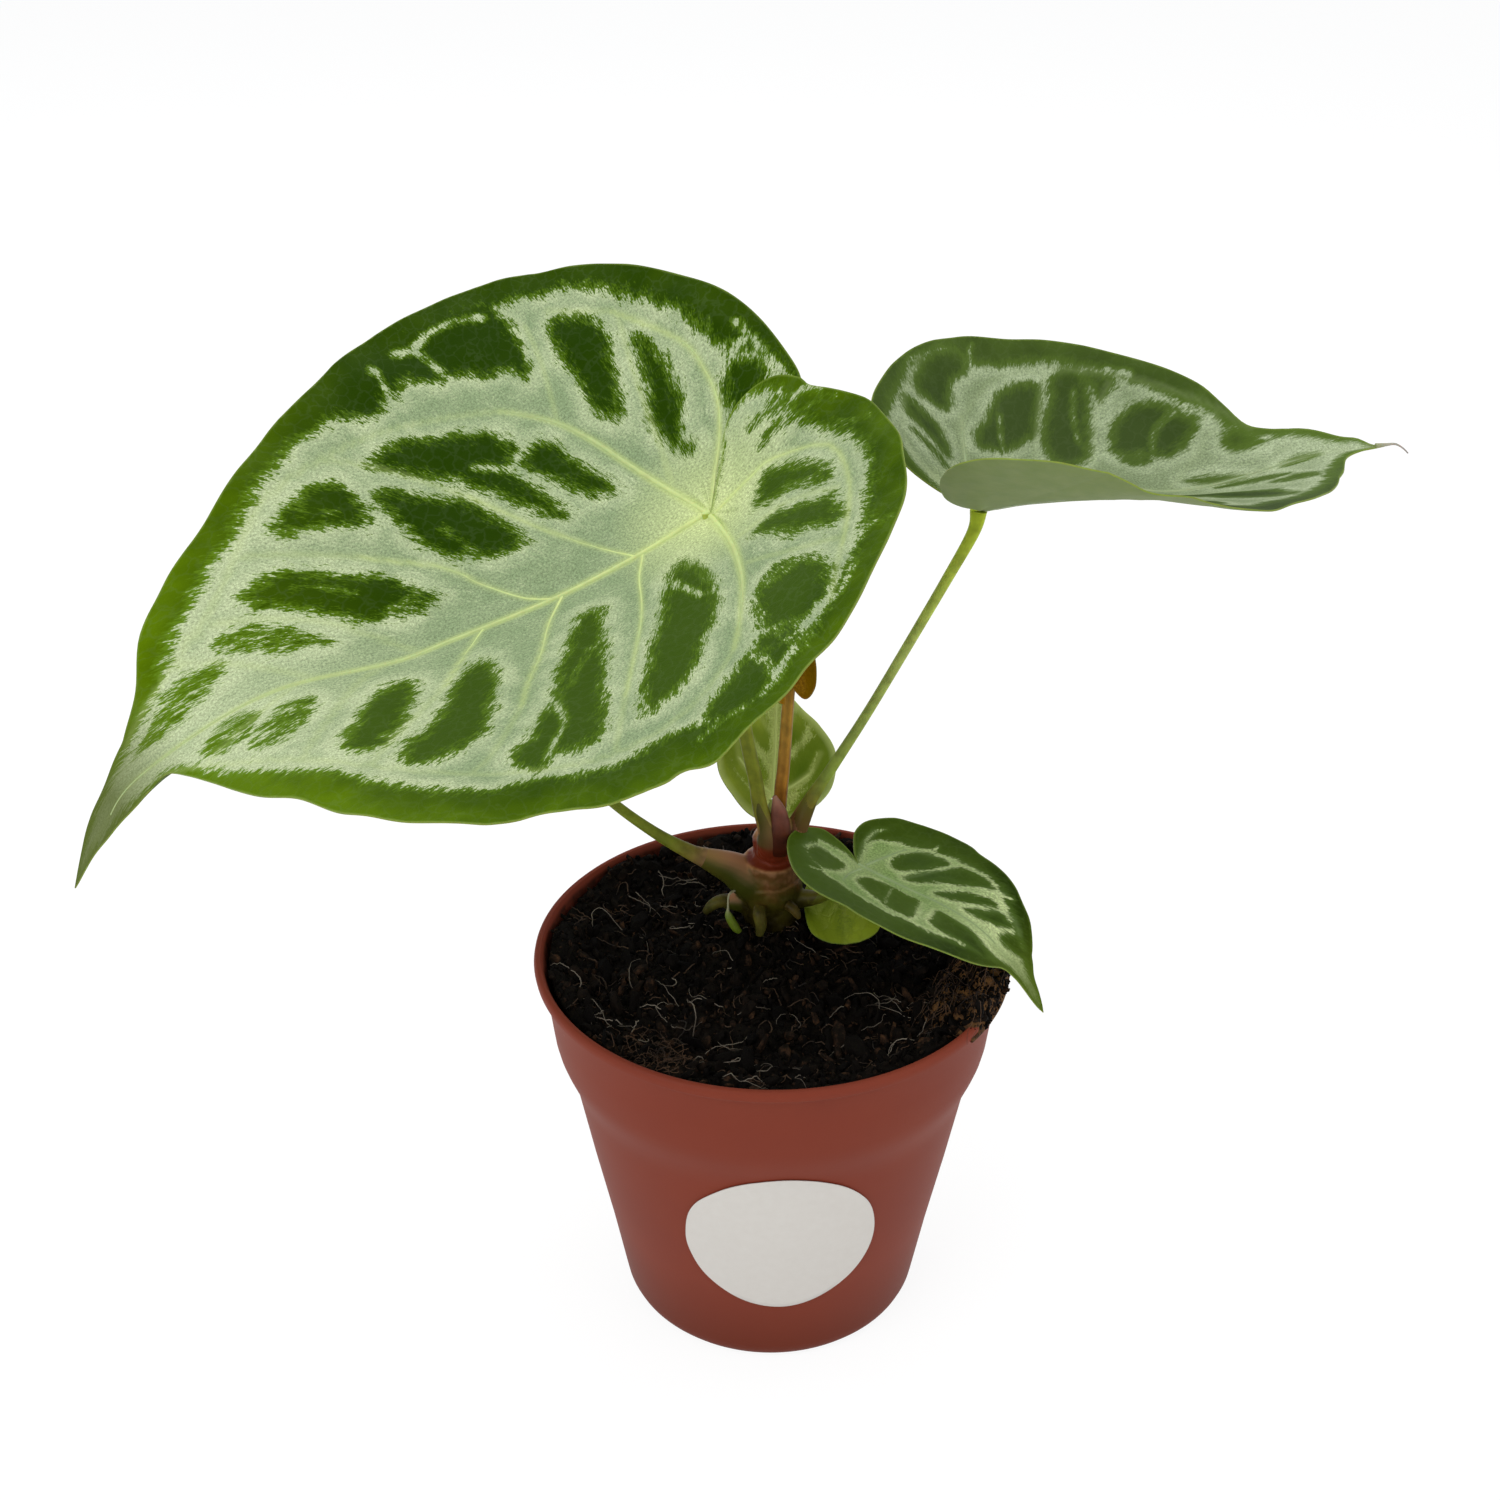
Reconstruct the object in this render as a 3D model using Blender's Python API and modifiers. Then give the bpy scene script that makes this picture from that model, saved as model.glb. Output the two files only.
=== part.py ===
"""Potted silver-veined anthurium in a 60 mm nursery pot, built as separate closed solids.

World frame: the pot stands on z = 0 with its axis on the world Z axis, and -Y is its labelled front.
Sizes below are in millimetres and are turned into metres by mm().
"""
import math

import bmesh
import bpy
from mathutils import Vector

COLLECTION = "potted_anthurium"
GAP = 0.3                       # clearance left between pieces that touch

# pot: outer wall as (height, radius), from the foot up to the lip
POT_OUTER = ((0, 17.8), (0.8, 19.0), (2.2, 19.5), (33.8, 25.9), (38.6, 27.9), (50.2, 28.9),
             (50.5, 30.0), (51.7, 30.0), (52, 29.7))
POT_HEIGHT = 52
POT_WALL = 0.9
POT_FLOOR = 1.2
POT_STEPS = 64
DRAIN_HOLES = 5
DRAIN_RADIUS = 2.0
DRAIN_CIRCLE = 11.0

# sticker on the tapered wall: a pebble outline as (distance round the wall from its middle, height)
LABEL_OUTLINE = ((11.6, 26.7), (10.9, 29.8), (8.0, 32.6), (1.6, 33.5), (-4.8, 33.0), (-9.3, 30.8),
                 (-11.6, 25.4), (-10.7, 21.6), (-8.0, 16.9), (-3.9, 12.8), (0, 11.6), (3.4, 12.8),
                 (7.0, 16.2), (10.2, 21.6))
LABEL_MIDDLE = (1.1, 24.0)
LABEL_POINTS = 36
LABEL_THICKNESS = 0.2

# peat, heaped up round the crown
SOIL_LEVEL = 48.2
SOIL_TILT = 0.045               # rise per millimetre towards the front
SOIL_LUMP = 0.4
SOIL_HEAP = 3.4
SOIL_HEAP_REACH = 11.0
SOIL_TOP = 51.6
SOIL_RINGS = 9
SOIL_STEPS = 48

# crown: axis position, and its own profile as (height, radius) from the buried end up
CROWN_FOOT = (0.1, 7.4, 40.0)
CROWN_LEAN = -2.0               # degrees about X, the top leaning to the front
CROWN_PROFILE = ((0, 1.6), (0.8, 2.4), (5, 3.2), (10, 3.75), (13.2, 3.9), (13.7, 3.7), (16.6, 3.95),
                 (17.1, 3.65), (19.4, 3.6), (19.8, 3.75), (21.6, 3.7), (22.3, 3.3))
CROWN_STEPS = 32

BLADE_THICKNESS = 0.5
BLADE_RINGS = 9

# Each blade: the spine runs from behind the stalk (first point) through the stalk's end (second point)
# to the tip. The outline gives the radius from the stalk's end at angles from the spine, in degrees, for
# the side on the left of travel and the side on the right. Fold and curl lift each half out of the flat.
BLADES = {
    "blade_large": dict(
        spine=((9.7, 14.5, 121.0), (-7.3, 9.0, 107.0), (-22.6, 4.1, 98.7), (-39.2, -1.7, 94.5),
               (-56.2, -8.0, 92.8), (-71.5, -13.8, 85.5), (-76.8, -16.5, 78.7), (-80.2, -18.6, 70.5)),
        left=((0, 90.8), (1.5, 83), (4, 70), (9, 66.5), (18, 63.5), (32, 60.5), (50, 57), (70, 52.5),
              (90, 46), (110, 37), (130, 31), (150, 25.5), (170, 21), (190, 17.5), (204, 13)),
        right=((0, 90.8), (1.5, 83), (4, 70), (9, 69), (18, 64.5), (32, 60), (50, 58), (70, 53.5),
               (90, 47.5), (110, 39.5), (130, 30.5), (148, 23)),
        roll=-9, twist=-7, fold=(15.5, 19.8), curl=(0, 0), half_width=42, lobe_lift=8.8,
        colour=(0.045, 0.110, 0.030)),
    "blade_right": dict(
        spine=((12.7, 4.4, 112.9), (23.9, 8.0, 107.3), (33.8, 10.7, 105.5), (43.9, 13.1, 106.5),
               (54.1, 15.0, 108.0), (64.0, 17.4, 110.0), (69.1, 18.5, 110.9), (74.2, 19.4, 111.4)),
        left=((0, 52.2), (3, 46.5), (8, 41.4), (16, 37), (28, 34.8), (45, 32), (65, 30.2), (90, 28.2),
              (115, 22.5), (140, 14), (160, 7)),
        right=((0, 52.2), (3, 45.5), (8, 43.1), (16, 41.4), (28, 38.5), (45, 35), (65, 31.3),
               (90, 27.4), (115, 22.5), (140, 14.5), (160, 8)),
        roll=1.3, twist=25.6, fold=(25.2, 37.7), curl=(8.5, -2.3), half_width=27, lobe_lift=1.5,
        colour=(0.045, 0.100, 0.028)),
    "blade_small": dict(
        spine=((5.8, 8.3, 64.2), (10.9, 3.1, 62.0), (15.4, -0.7, 60.8), (20.3, -4.1, 59.9),
               (25.1, -7.6, 58.6), (29.2, -11.3, 56.3), (31.0, -13.2, 54.7), (32.4, -15.1, 52.7)),
        left=((0, 30.2), (3, 26), (8, 24.4), (16, 22.8), (28, 20.8), (45, 18.5), (65, 16.2),
              (90, 13.4), (115, 10.1), (140, 6.2), (155, 4)),
        right=((0, 30.2), (3, 25.2), (8, 23.9), (16, 22.5), (28, 20.6), (45, 18.2), (65, 15.3),
               (90, 12.8), (115, 10.8), (140, 9.3), (152, 8), (162, 6)),
        roll=-9.2, twist=2.5, fold=(10.4, 11.8), curl=(-1.6, -1.1), half_width=14, lobe_lift=0.2,
        colour=(0.050, 0.120, 0.035)),
    "blade_back": dict(
        spine=((-0.1, 10.8, 62.5), (0.2, 14.0, 65.3), (0.4, 16.6, 67.6), (0.6, 19.2, 70.0),
               (0.7, 21.5, 72.5), (0.8, 23.7, 75.2), (0.8, 25.7, 78.0)),
        left=((0, 17.3), (6, 14.5), (16, 12.7), (30, 11.9), (50, 10.7), (75, 8), (100, 5.5),
              (130, 4), (150, 3)),
        right=((0, 17.3), (6, 14.5), (16, 12.5), (30, 11.3), (50, 10.1), (75, 8), (100, 5.5),
               (130, 4), (150, 3)),
        roll=16.4, twist=0, fold=(14.1, 10.7), curl=(-4.9, -5.7), half_width=8.5, lobe_lift=0,
        colour=(0.110, 0.160, 0.050)),
    "blade_left": dict(
        spine=((-26.5, 9.6, 80.0), (-32.0, 11.2, 79.4), (-40.0, 13.4, 79.2), (-48.0, 15.6, 78.8),
               (-56.0, 17.8, 77.4), (-62.0, 19.4, 75.2), (-65.0, 20.2, 73.0)),
        left=((0, 35), (4, 30), (10, 27), (20, 24.5), (35, 22), (55, 19), (80, 16.5), (105, 13),
              (130, 9.5), (155, 6.5)),
        right=((0, 35), (4, 30), (10, 27), (20, 24.5), (35, 22), (55, 19), (80, 16.5), (105, 13),
               (130, 9.5), (155, 6.5)),
        roll=-4, twist=0, fold=(12, 12), curl=(0, 0), half_width=16, lobe_lift=0,
        colour=(0.060, 0.130, 0.035)),
    "blade_bronze": dict(
        spine=((4.9, 4.5, 85.2), (2.4, 8.2, 88.2), (0.9, 11.7, 90.6), (-0.8, 15.6, 92.4),
               (-2.6, 19.4, 93.2), (-4.2, 23.0, 92.4), (-5.2, 25.4, 90.8)),
        left=((0, 22), (4, 19), (12, 16), (25, 12.5), (45, 8.6), (70, 6.4), (100, 5.6), (130, 5.4),
              (155, 4.6)),
        right=((0, 22), (4, 19), (12, 16), (25, 12.5), (45, 8.6), (70, 6.4), (100, 5.6), (130, 5.4),
               (155, 4.6)),
        roll=0, twist=0, fold=(34, 34), curl=(8, 8), half_width=8, lobe_lift=0,
        colour=(0.330, 0.120, 0.030)),
    "blade_round": dict(
        spine=((9.6, 13.0, 55.0), (9.4, 11.0, 54.2), (9.4, 8.4, 53.4), (9.4, 5.8, 52.5),
               (9.4, 3.4, 51.6), (9.5, 1.4, 50.9)),
        left=((0, 10.2), (12, 9.6), (28, 8.2), (48, 6.6), (72, 5.2), (100, 4), (130, 3), (155, 2)),
        right=((0, 10.2), (12, 9.6), (28, 8.2), (48, 6.6), (72, 5.2), (100, 4), (130, 3), (155, 2)),
        roll=0, twist=0, fold=(10, 10), curl=(-8, -8), half_width=5, lobe_lift=0,
        colour=(0.180, 0.280, 0.020)),
}

# Stalks, the sheath and roots: points along the piece as (x, y, z, radius)
TUBES = {
    "petiole_large": dict(
        route=((-1.75, 5.3, 62.8, 1.3), (-1.75, 5.25, 63.6, 1.75), (-1.7, 5.1, 66.5, 1.5),
               (-1.6, 5.0, 70.2, 1.0), (-2.0, 5.0, 73.0, 0.95), (-3.2, 5.0, 79.4, 0.9),
               (-5.1, 6.0, 91.8, 0.9), (-6.8, 8.0, 102.0, 0.9), (-7.2, 8.9, 105.9, 0.9)),
        colour=(0.150, 0.160, 0.050)),
    "petiole_right": dict(
        route=((3.1, 6.9, 62.9, 0.9), (3.2, 6.8, 63.6, 1.15), (3.6, 6.7, 66.2, 1.2),
               (4.9, 6.3, 69.4, 1.05), (7.2, 6.0, 73.9, 0.95), (11.0, 6.0, 81.6, 0.85),
               (15.3, 6.5, 90.2, 0.82), (19.8, 7.0, 99.2, 0.82), (23.0, 7.7, 104.9, 0.85),
               (23.75, 7.95, 106.6, 0.85)),
        colour=(0.150, 0.180, 0.030)),
    "petiole_bronze": dict(
        route=((0.9, 7.9, 62.9, 0.7), (0.9, 7.8, 64.0, 0.8), (1.2, 7.4, 70.3, 0.85),
               (1.5, 7.3, 73.9, 0.8), (2.0, 7.7, 82.9, 0.75), (2.4, 8.1, 87.2, 0.7)),
        colour=(0.300, 0.100, 0.040)),
    "petiole_left": dict(
        route=((-4.7, 6.7, 58.5, 1.1), (-5.1, 6.6, 58.8, 1.9), (-7.0, 6.2, 60.3, 1.75),
               (-9.9, 6.2, 61.6, 1.15), (-14.6, 6.8, 64.2, 0.8), (-20.0, 8.0, 68.0, 0.7),
               (-26.6, 10.0, 73.8, 0.65), (-31.4, 11.1, 78.3, 0.65)),
        colour=(0.180, 0.200, 0.040)),
    "petiole_small": dict(
        route=((4.3, 6.0, 54.9, 0.7), (4.8, 5.8, 55.0, 1.0), (6.4, 5.3, 55.6, 0.85),
               (8.6, 4.5, 57.4, 0.65), (10.1, 3.7, 59.7, 0.6), (10.8, 3.3, 61.2, 0.6)),
        colour=(0.150, 0.180, 0.040)),
    "petiole_round": dict(
        route=((4.1, 9.2, 52.6, 0.4), (4.7, 9.5, 52.6, 0.6), (6.8, 10.4, 52.8, 0.5),
               (9.2, 10.9, 53.5, 0.4)),
        colour=(0.180, 0.250, 0.030)),
    "petiole_back": dict(
        route=((0.2, 11.0, 60.7, 0.45), (0.2, 11.4, 61.1, 0.7), (0.2, 12.7, 62.4, 0.6),
               (0.2, 13.9, 64.4, 0.5)),
        colour=(0.180, 0.200, 0.060)),
    "sheath": dict(
        route=((1.25, 4.6, 62.9, 0.7), (1.25, 4.6, 63.6, 0.95), (1.25, 4.8, 66.5, 0.95),
               (1.2, 5.2, 69.0, 0.6), (1.2, 5.4, 70.2, 0.3)),
        colour=(0.200, 0.070, 0.070)),
    "root_green_tip": dict(
        route=((-4.2, 5.2, 56.9, 0.2), (-5.3, 4.3, 56.7, 0.25), (-5.5, 3.3, 55.2, 0.25),
               (-5.5, 3.0, 54.4, 0.55), (-4.7, 2.6, 52.8, 0.6), (-4.4, 2.5, 52.0, 0.35)),
        colour=(0.180, 0.300, 0.030)),
    "root_nub_left": dict(
        route=((-4.4, 6.8, 54.4, 0.8), (-5.1, 6.8, 54.3, 1.15), (-7.4, 6.6, 53.8, 1.1),
               (-8.6, 6.5, 53.2, 0.6)),
        colour=(0.110, 0.100, 0.030)),
    "root_nub_front": dict(
        route=((-1.5, 2.9, 55.2, 0.6), (-1.6, 2.5, 54.9, 0.8), (-1.7, 2.0, 53.5, 0.75),
               (-1.6, 1.8, 52.4, 0.5)),
        colour=(0.140, 0.120, 0.040)),
    "root_nub_right": dict(
        route=((2.5, 3.4, 55.2, 0.5), (2.9, 3.0, 55.0, 0.75), (3.5, 2.2, 54.2, 0.65),
               (3.7, 1.9, 53.4, 0.4)),
        colour=(0.160, 0.110, 0.040)),
}


def mm(value):
    return value * 0.001


def millimetres(point):
    return Vector(point) * 0.001


def clear_scene():
    for existing in list(bpy.data.objects):
        bpy.data.objects.remove(existing, do_unlink=True)


def make_collection(name, hidden=False):
    collection = bpy.data.collections.new(name)
    bpy.context.scene.collection.children.link(collection)
    collection.hide_render = hidden
    return collection


def principled(name, colour, roughness, subsurface=0.0):
    material = bpy.data.materials.new(name)
    material.use_nodes = True
    shader = material.node_tree.nodes["Principled BSDF"]
    shader.inputs["Base Color"].default_value = (*colour, 1)
    shader.inputs["Roughness"].default_value = roughness
    shader.inputs["Metallic"].default_value = 0.0
    shader.inputs["Subsurface Weight"].default_value = subsurface
    return material


def add_object(name, data, collection, material=None):
    created = bpy.data.objects.new(name, data)
    collection.objects.link(created)
    if material:
        data.materials.append(material)
    return created


def smooth(data):
    for polygon in data.polygons:
        polygon.use_smooth = True


def turned(name, chain, steps, collection, material):
    """A chain of (radius, height) points, axis first and axis last, turned about Z."""
    shape = bmesh.new()
    points = [shape.verts.new((mm(radius), 0, mm(height))) for radius, height in chain]
    for first, second in zip(points, points[1:]):
        shape.edges.new((first, second))
    data = bpy.data.meshes.new(name)
    shape.to_mesh(data)
    shape.free()
    created = add_object(name, data, collection, material)
    screw = created.modifiers.new("turn", "SCREW")
    screw.steps = steps
    screw.render_steps = steps
    screw.use_merge_vertices = True
    screw.merge_threshold = 0.00001
    screw.use_normal_calculate = True
    return created


def subtract(target, cutter):
    cutter.display_type = "WIRE"
    cutter.hide_render = True
    cut = target.modifiers.new(cutter.name, "BOOLEAN")
    cut.operation = "DIFFERENCE"
    cut.solver = "EXACT"
    cut.object = cutter


def bake(target):
    """Replace an object's mesh with its evaluated shape, so that its points can be moved."""
    graph = bpy.context.evaluated_depsgraph_get()
    data = bpy.data.meshes.new_from_object(target.evaluated_get(graph))
    target.modifiers.clear()
    target.data = data
    return data


def wall_radius(height):
    """Outer radius of the pot at a height."""
    for (low, near), (high, far) in zip(POT_OUTER, POT_OUTER[1:]):
        if height <= high:
            return near + (far - near) * (height - low) / (high - low)
    return POT_OUTER[-1][1]


def inner_wall(top, inset):
    """(radius, height) points up the inside of the pot, moved inwards by inset."""
    bends = [height for height, _ in POT_OUTER if POT_FLOOR + 1.5 < height < top]
    heights = [POT_FLOOR + 1.5] + bends + [top]
    return [(min(wall_radius(height), 28.9) - POT_WALL - inset, height) for height in heights]


def build_pot(collection, cutters, material):
    inside = [(0, POT_FLOOR), (wall_radius(POT_FLOOR) - POT_WALL - 1.2, POT_FLOOR)]
    inside += inner_wall(51.7, 0) + [(28.3, POT_HEIGHT)]
    outside = [(radius, height) for height, radius in reversed(POT_OUTER)]
    pot = turned("pot", inside + outside + [(0, 0)], POT_STEPS, collection, material)
    for number in range(DRAIN_HOLES):
        angle = 2 * math.pi * number / DRAIN_HOLES
        bpy.ops.mesh.primitive_cylinder_add(
            vertices=20, radius=mm(DRAIN_RADIUS), depth=mm(4 * POT_FLOOR),
            location=millimetres((DRAIN_CIRCLE * math.cos(angle), DRAIN_CIRCLE * math.sin(angle), 0)))
        drill = bpy.context.object
        drill.name = "drain_cutter_%d" % number
        for home in list(drill.users_collection):
            home.objects.unlink(drill)
        cutters.objects.link(drill)
        subtract(pot, drill)
    return pot


def build_label(collection, material):
    """A disc of rings, its edge drawn out to the pebble outline and wrapped onto the wall."""
    corners = [Vector(point) for point in LABEL_OUTLINE]
    loop = corners[-1:] + corners + corners[:2]
    edge = [read_curve(loop, 1 + number * len(corners) / LABEL_POINTS)[0]
            for number in range(LABEL_POINTS)]
    middle = Vector(LABEL_MIDDLE)
    shape = bmesh.new()
    bmesh.ops.create_circle(shape, cap_ends=True, cap_tris=True, segments=LABEL_POINTS, radius=1)
    spokes = [line for line in shape.edges if not line.is_boundary]
    bmesh.ops.subdivide_edges(shape, edges=spokes, cuts=2)
    for vertex in shape.verts:
        reach = vertex.co.length
        turn = math.atan2(vertex.co.y, vertex.co.x) / (2 * math.pi) * LABEL_POINTS
        across, height = middle + (edge[round(turn) % LABEL_POINTS] - middle) * reach
        radius = wall_radius(height) + GAP
        angle = across / radius
        vertex.co = millimetres((radius * math.sin(angle), -radius * math.cos(angle), height))
    data = bpy.data.meshes.new("label")
    shape.to_mesh(data)
    shape.free()
    label = add_object("label", data, collection, material)
    paper = label.modifiers.new("thickness", "SOLIDIFY")
    paper.thickness = mm(LABEL_THICKNESS)
    paper.offset = 1
    return label


def soil_height(x, y):
    lumps = math.sin(0.42 * x + 1.1) * math.cos(0.37 * y) + 0.7 * math.sin(0.81 * x - 0.6 * y)
    spread = ((x - CROWN_FOOT[0]) ** 2 + (y - CROWN_FOOT[1]) ** 2) / SOIL_HEAP_REACH ** 2
    height = SOIL_LEVEL - SOIL_TILT * y + SOIL_LUMP * lumps + SOIL_HEAP * math.exp(-spread)
    return min(height, SOIL_TOP)


def build_soil(collection, cutters, material, crown_cutter):
    edge = inner_wall(SOIL_LEVEL, GAP)
    rim_radius = edge[-1][0]
    top = [(rim_radius * ring / SOIL_RINGS, SOIL_LEVEL) for ring in range(SOIL_RINGS)]
    floor = POT_FLOOR + GAP
    foot = wall_radius(POT_FLOOR) - POT_WALL - 1.2 - GAP
    side = list(reversed(edge))
    soil = turned("soil", top + side + [(foot, floor), (0, floor)], SOIL_STEPS, collection, material)
    data = bake(soil)
    for vertex in data.vertices:
        if vertex.co.z > mm(SOIL_LEVEL) - 1e-6:
            vertex.co.z = mm(soil_height(vertex.co.x * 1000, vertex.co.y * 1000))
    subtract(soil, crown_cutter)
    return soil


def build_crown(collection, cutters, material):
    lean = math.radians(CROWN_LEAN)
    chain = [(0, CROWN_PROFILE[-1][0])]
    chain += [(radius, height) for height, radius in reversed(CROWN_PROFILE)]
    crown = turned("crown", chain + [(0, 0)], CROWN_STEPS, collection, material)
    wide = [(0, CROWN_PROFILE[-1][0])]
    wide += [(radius + GAP, height) for height, radius in reversed(CROWN_PROFILE)]
    cutter = turned("crown_cutter", wide + [(CROWN_PROFILE[0][1] + GAP, -GAP), (0, -GAP)],
                    CROWN_STEPS, cutters, None)
    for piece in (crown, cutter):
        piece.location = millimetres(CROWN_FOOT)
        piece.rotation_euler = (-lean, 0, 0)
    return crown, cutter


def read_curve(points, place):
    """Point and direction on a smooth curve through points, at a place counted in spans."""
    last = len(points) - 1
    span = min(max(int(place), 0), last - 1)
    part = place - span
    before = points[max(span - 1, 0)]
    start = points[span]
    end = points[span + 1]
    after = points[min(span + 2, last)]
    slope_start = (end - before) / 2
    slope_end = (after - start) / 2
    square = part * part
    cube = square * part
    position = (start * (2 * cube - 3 * square + 1) + slope_start * (cube - 2 * square + part)
                + end * (3 * square - 2 * cube) + slope_end * (cube - square))
    heading = (start * (6 * square - 6 * part) + slope_start * (3 * square - 4 * part + 1)
               + end * (6 * part - 6 * square) + slope_end * (3 * square - 2 * part))
    return position, heading


class Spine:
    """The line of a blade's midrib, measured in millimetres from the stalk's end."""

    def __init__(self, points):
        self.points = [Vector(point) for point in points]
        steps = [(b - a).length for a, b in zip(self.points, self.points[1:])]
        self.marks = [-steps[0], 0]
        for step in steps[1:]:
            self.marks.append(self.marks[-1] + step)
        self.length = self.marks[-1]

    def at(self, reach):
        held = min(max(reach, self.marks[0]), self.length)
        span = 0
        while span < len(self.marks) - 2 and held > self.marks[span + 1]:
            span += 1
        part = (held - self.marks[span]) / (self.marks[span + 1] - self.marks[span])
        position, heading = read_curve(self.points, span + part)
        heading.normalize()
        return position + heading * (reach - held), heading


def outline_radius(pairs, angle):
    """Radius of a blade's edge at an angle, on a smooth curve through its (angle, radius) pairs."""
    points = [Vector((x, r)) for x, r in pairs]
    span = 0
    while span < len(pairs) - 2 and angle > pairs[span + 1][0]:
        span += 1
    part = (angle - pairs[span][0]) / (pairs[span + 1][0] - pairs[span][0])
    return read_curve(points, span + part)[0].y


def ease(low, high, value):
    part = min(max((value - low) / (high - low), 0), 1)
    return part * part * (3 - 2 * part)


def blade_point(blade, spine, radius, angle):
    """The place on a blade's upper face at a radius and a signed angle, positive on the left."""
    left = angle >= 0
    turn = math.radians(abs(angle))
    along = radius * math.cos(turn)
    across = radius * math.sin(turn)
    position, heading = spine.at(along)
    side = Vector((0, 0, 1)).cross(heading).normalized()
    up = heading.cross(side)
    roll = math.radians(blade["roll"] + blade["twist"] * min(max(along / spine.length, 0), 1))
    side, up = side * math.cos(roll) + up * math.sin(roll), up * math.cos(roll) - side * math.sin(roll)
    which = 0 if left else 1
    sign = 1 if left else -1
    fold = math.radians(blade["fold"][which])
    bend = math.radians(blade["curl"][which]) / blade["half_width"] or 1e-6
    lift = blade["lobe_lift"] * ease(105, 205, abs(angle)) * radius / blade["half_width"] if left else 0
    if across < 0:
        return position + side * (sign * across) + up * lift
    out = (math.sin(fold + bend * across) - math.sin(fold)) / bend
    rise = (math.cos(fold) - math.cos(fold + bend * across)) / bend
    valley = blade["half_width"] * 0.12
    if across > 0:
        rise *= 1 - valley * (1 - math.exp(-across / valley)) / across
    return position + side * (sign * out) + up * (rise + lift)


def blade_angles(pairs):
    """Angles for the rays of a blade's mesh, close together where the tip is narrow."""
    end = pairs[-1][0]
    return [1.5, 3.5, 6, 9, 13] + [18 + (end - 18) * part / 9 for part in range(10)]


def build_blade(name, blade, collection):
    """A flat grid is carried onto the blade: one way runs out from the stalk, the other round it."""
    spine = Spine(blade["spine"])
    rays = [(-angle, outline_radius(blade["right"], angle)) for angle in
            reversed(blade_angles(blade["right"]))]
    rays += [(0, blade["left"][0][1])]
    rays += [(angle, outline_radius(blade["left"], angle)) for angle in blade_angles(blade["left"])]
    shape = bmesh.new()
    bmesh.ops.create_grid(shape, x_segments=len(rays) - 1, y_segments=BLADE_RINGS, size=1)
    for vertex in shape.verts:
        ray = round((vertex.co.x + 1) / 2 * (len(rays) - 1))
        ring = round((vertex.co.y + 1) / 2 * BLADE_RINGS) / BLADE_RINGS
        angle, reach = rays[ray]
        vertex.co = millimetres(blade_point(blade, spine, reach * ring, angle))
    bmesh.ops.remove_doubles(shape, verts=shape.verts[:], dist=1e-7)
    data = bpy.data.meshes.new(name)
    shape.to_mesh(data)
    shape.free()
    smooth(data)
    material = principled(name + "_tissue", blade["colour"], 0.45, 0.1)
    created = add_object(name, data, collection, material)
    thickness = created.modifiers.new("thickness", "SOLIDIFY")
    thickness.thickness = mm(BLADE_THICKNESS)
    thickness.offset = -1
    return created


def build_tube(name, tube, collection):
    """A stalk or root as a bevelled curve whose radius changes along it."""
    points = [Vector(point) for point in tube["route"]]
    count = 3 * (len(points) - 1) + 1
    curve = bpy.data.curves.new(name, "CURVE")
    curve.dimensions = "3D"
    curve.bevel_depth = mm(1)
    curve.bevel_resolution = 2
    curve.use_fill_caps = True
    spline = curve.splines.new("POLY")
    spline.points.add(count - 1)
    for number, target in enumerate(spline.points):
        x, y, z, radius = read_curve(points, number / 3)[0]
        target.co = (mm(x), mm(y), mm(z), 1)
        target.radius = radius
    spline.use_smooth = True
    return add_object(name, curve, collection, principled(name + "_skin", tube["colour"], 0.45, 0.1))


def main():
    clear_scene()
    plant = make_collection(COLLECTION)
    cutters = make_collection("cutters", hidden=True)
    crown, crown_cutter = build_crown(plant, cutters, principled("crown_bark", (0.2, 0.13, 0.05), 0.7))
    build_pot(plant, cutters, principled("pot_plastic", (0.2, 0.042, 0.026), 0.5))
    build_label(plant, principled("label_paper", (0.62, 0.58, 0.53), 0.5))
    build_soil(plant, cutters, principled("soil_peat", (0.012, 0.009, 0.007), 0.95), crown_cutter)
    for name, blade in BLADES.items():
        build_blade(name, blade, plant)
    for name, tube in TUBES.items():
        build_tube(name, tube, plant)


main()
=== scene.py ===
import math
from functools import partial

import bmesh
import bpy
import numpy as np
from mathutils import Matrix, Vector, kdtree, noise


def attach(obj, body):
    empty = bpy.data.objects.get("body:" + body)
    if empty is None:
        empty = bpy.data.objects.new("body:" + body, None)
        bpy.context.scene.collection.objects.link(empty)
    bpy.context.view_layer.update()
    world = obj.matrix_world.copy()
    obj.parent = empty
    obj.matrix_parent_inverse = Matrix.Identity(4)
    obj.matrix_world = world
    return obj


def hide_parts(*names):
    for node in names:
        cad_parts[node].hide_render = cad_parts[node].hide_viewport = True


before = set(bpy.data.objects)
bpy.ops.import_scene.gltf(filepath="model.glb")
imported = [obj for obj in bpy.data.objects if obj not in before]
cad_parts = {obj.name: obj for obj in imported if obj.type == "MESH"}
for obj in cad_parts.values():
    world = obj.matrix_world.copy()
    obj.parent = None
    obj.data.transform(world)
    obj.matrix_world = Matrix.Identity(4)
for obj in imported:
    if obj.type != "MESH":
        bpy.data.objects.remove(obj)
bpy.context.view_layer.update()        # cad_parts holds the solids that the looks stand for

mm = 0.001               # sizes below are in millimetres unless a note says otherwise


def hexColour(code):     # sRGB hex to the linear colour that the nodes work in
    parts = [int(code[place:place + 2], 16) / 255 for place in (0, 2, 4)]
    return (*(p / 12.92 if p <= 0.04045 else ((p + 0.055) / 1.055) ** 2.4 for p in parts), 1)


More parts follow.
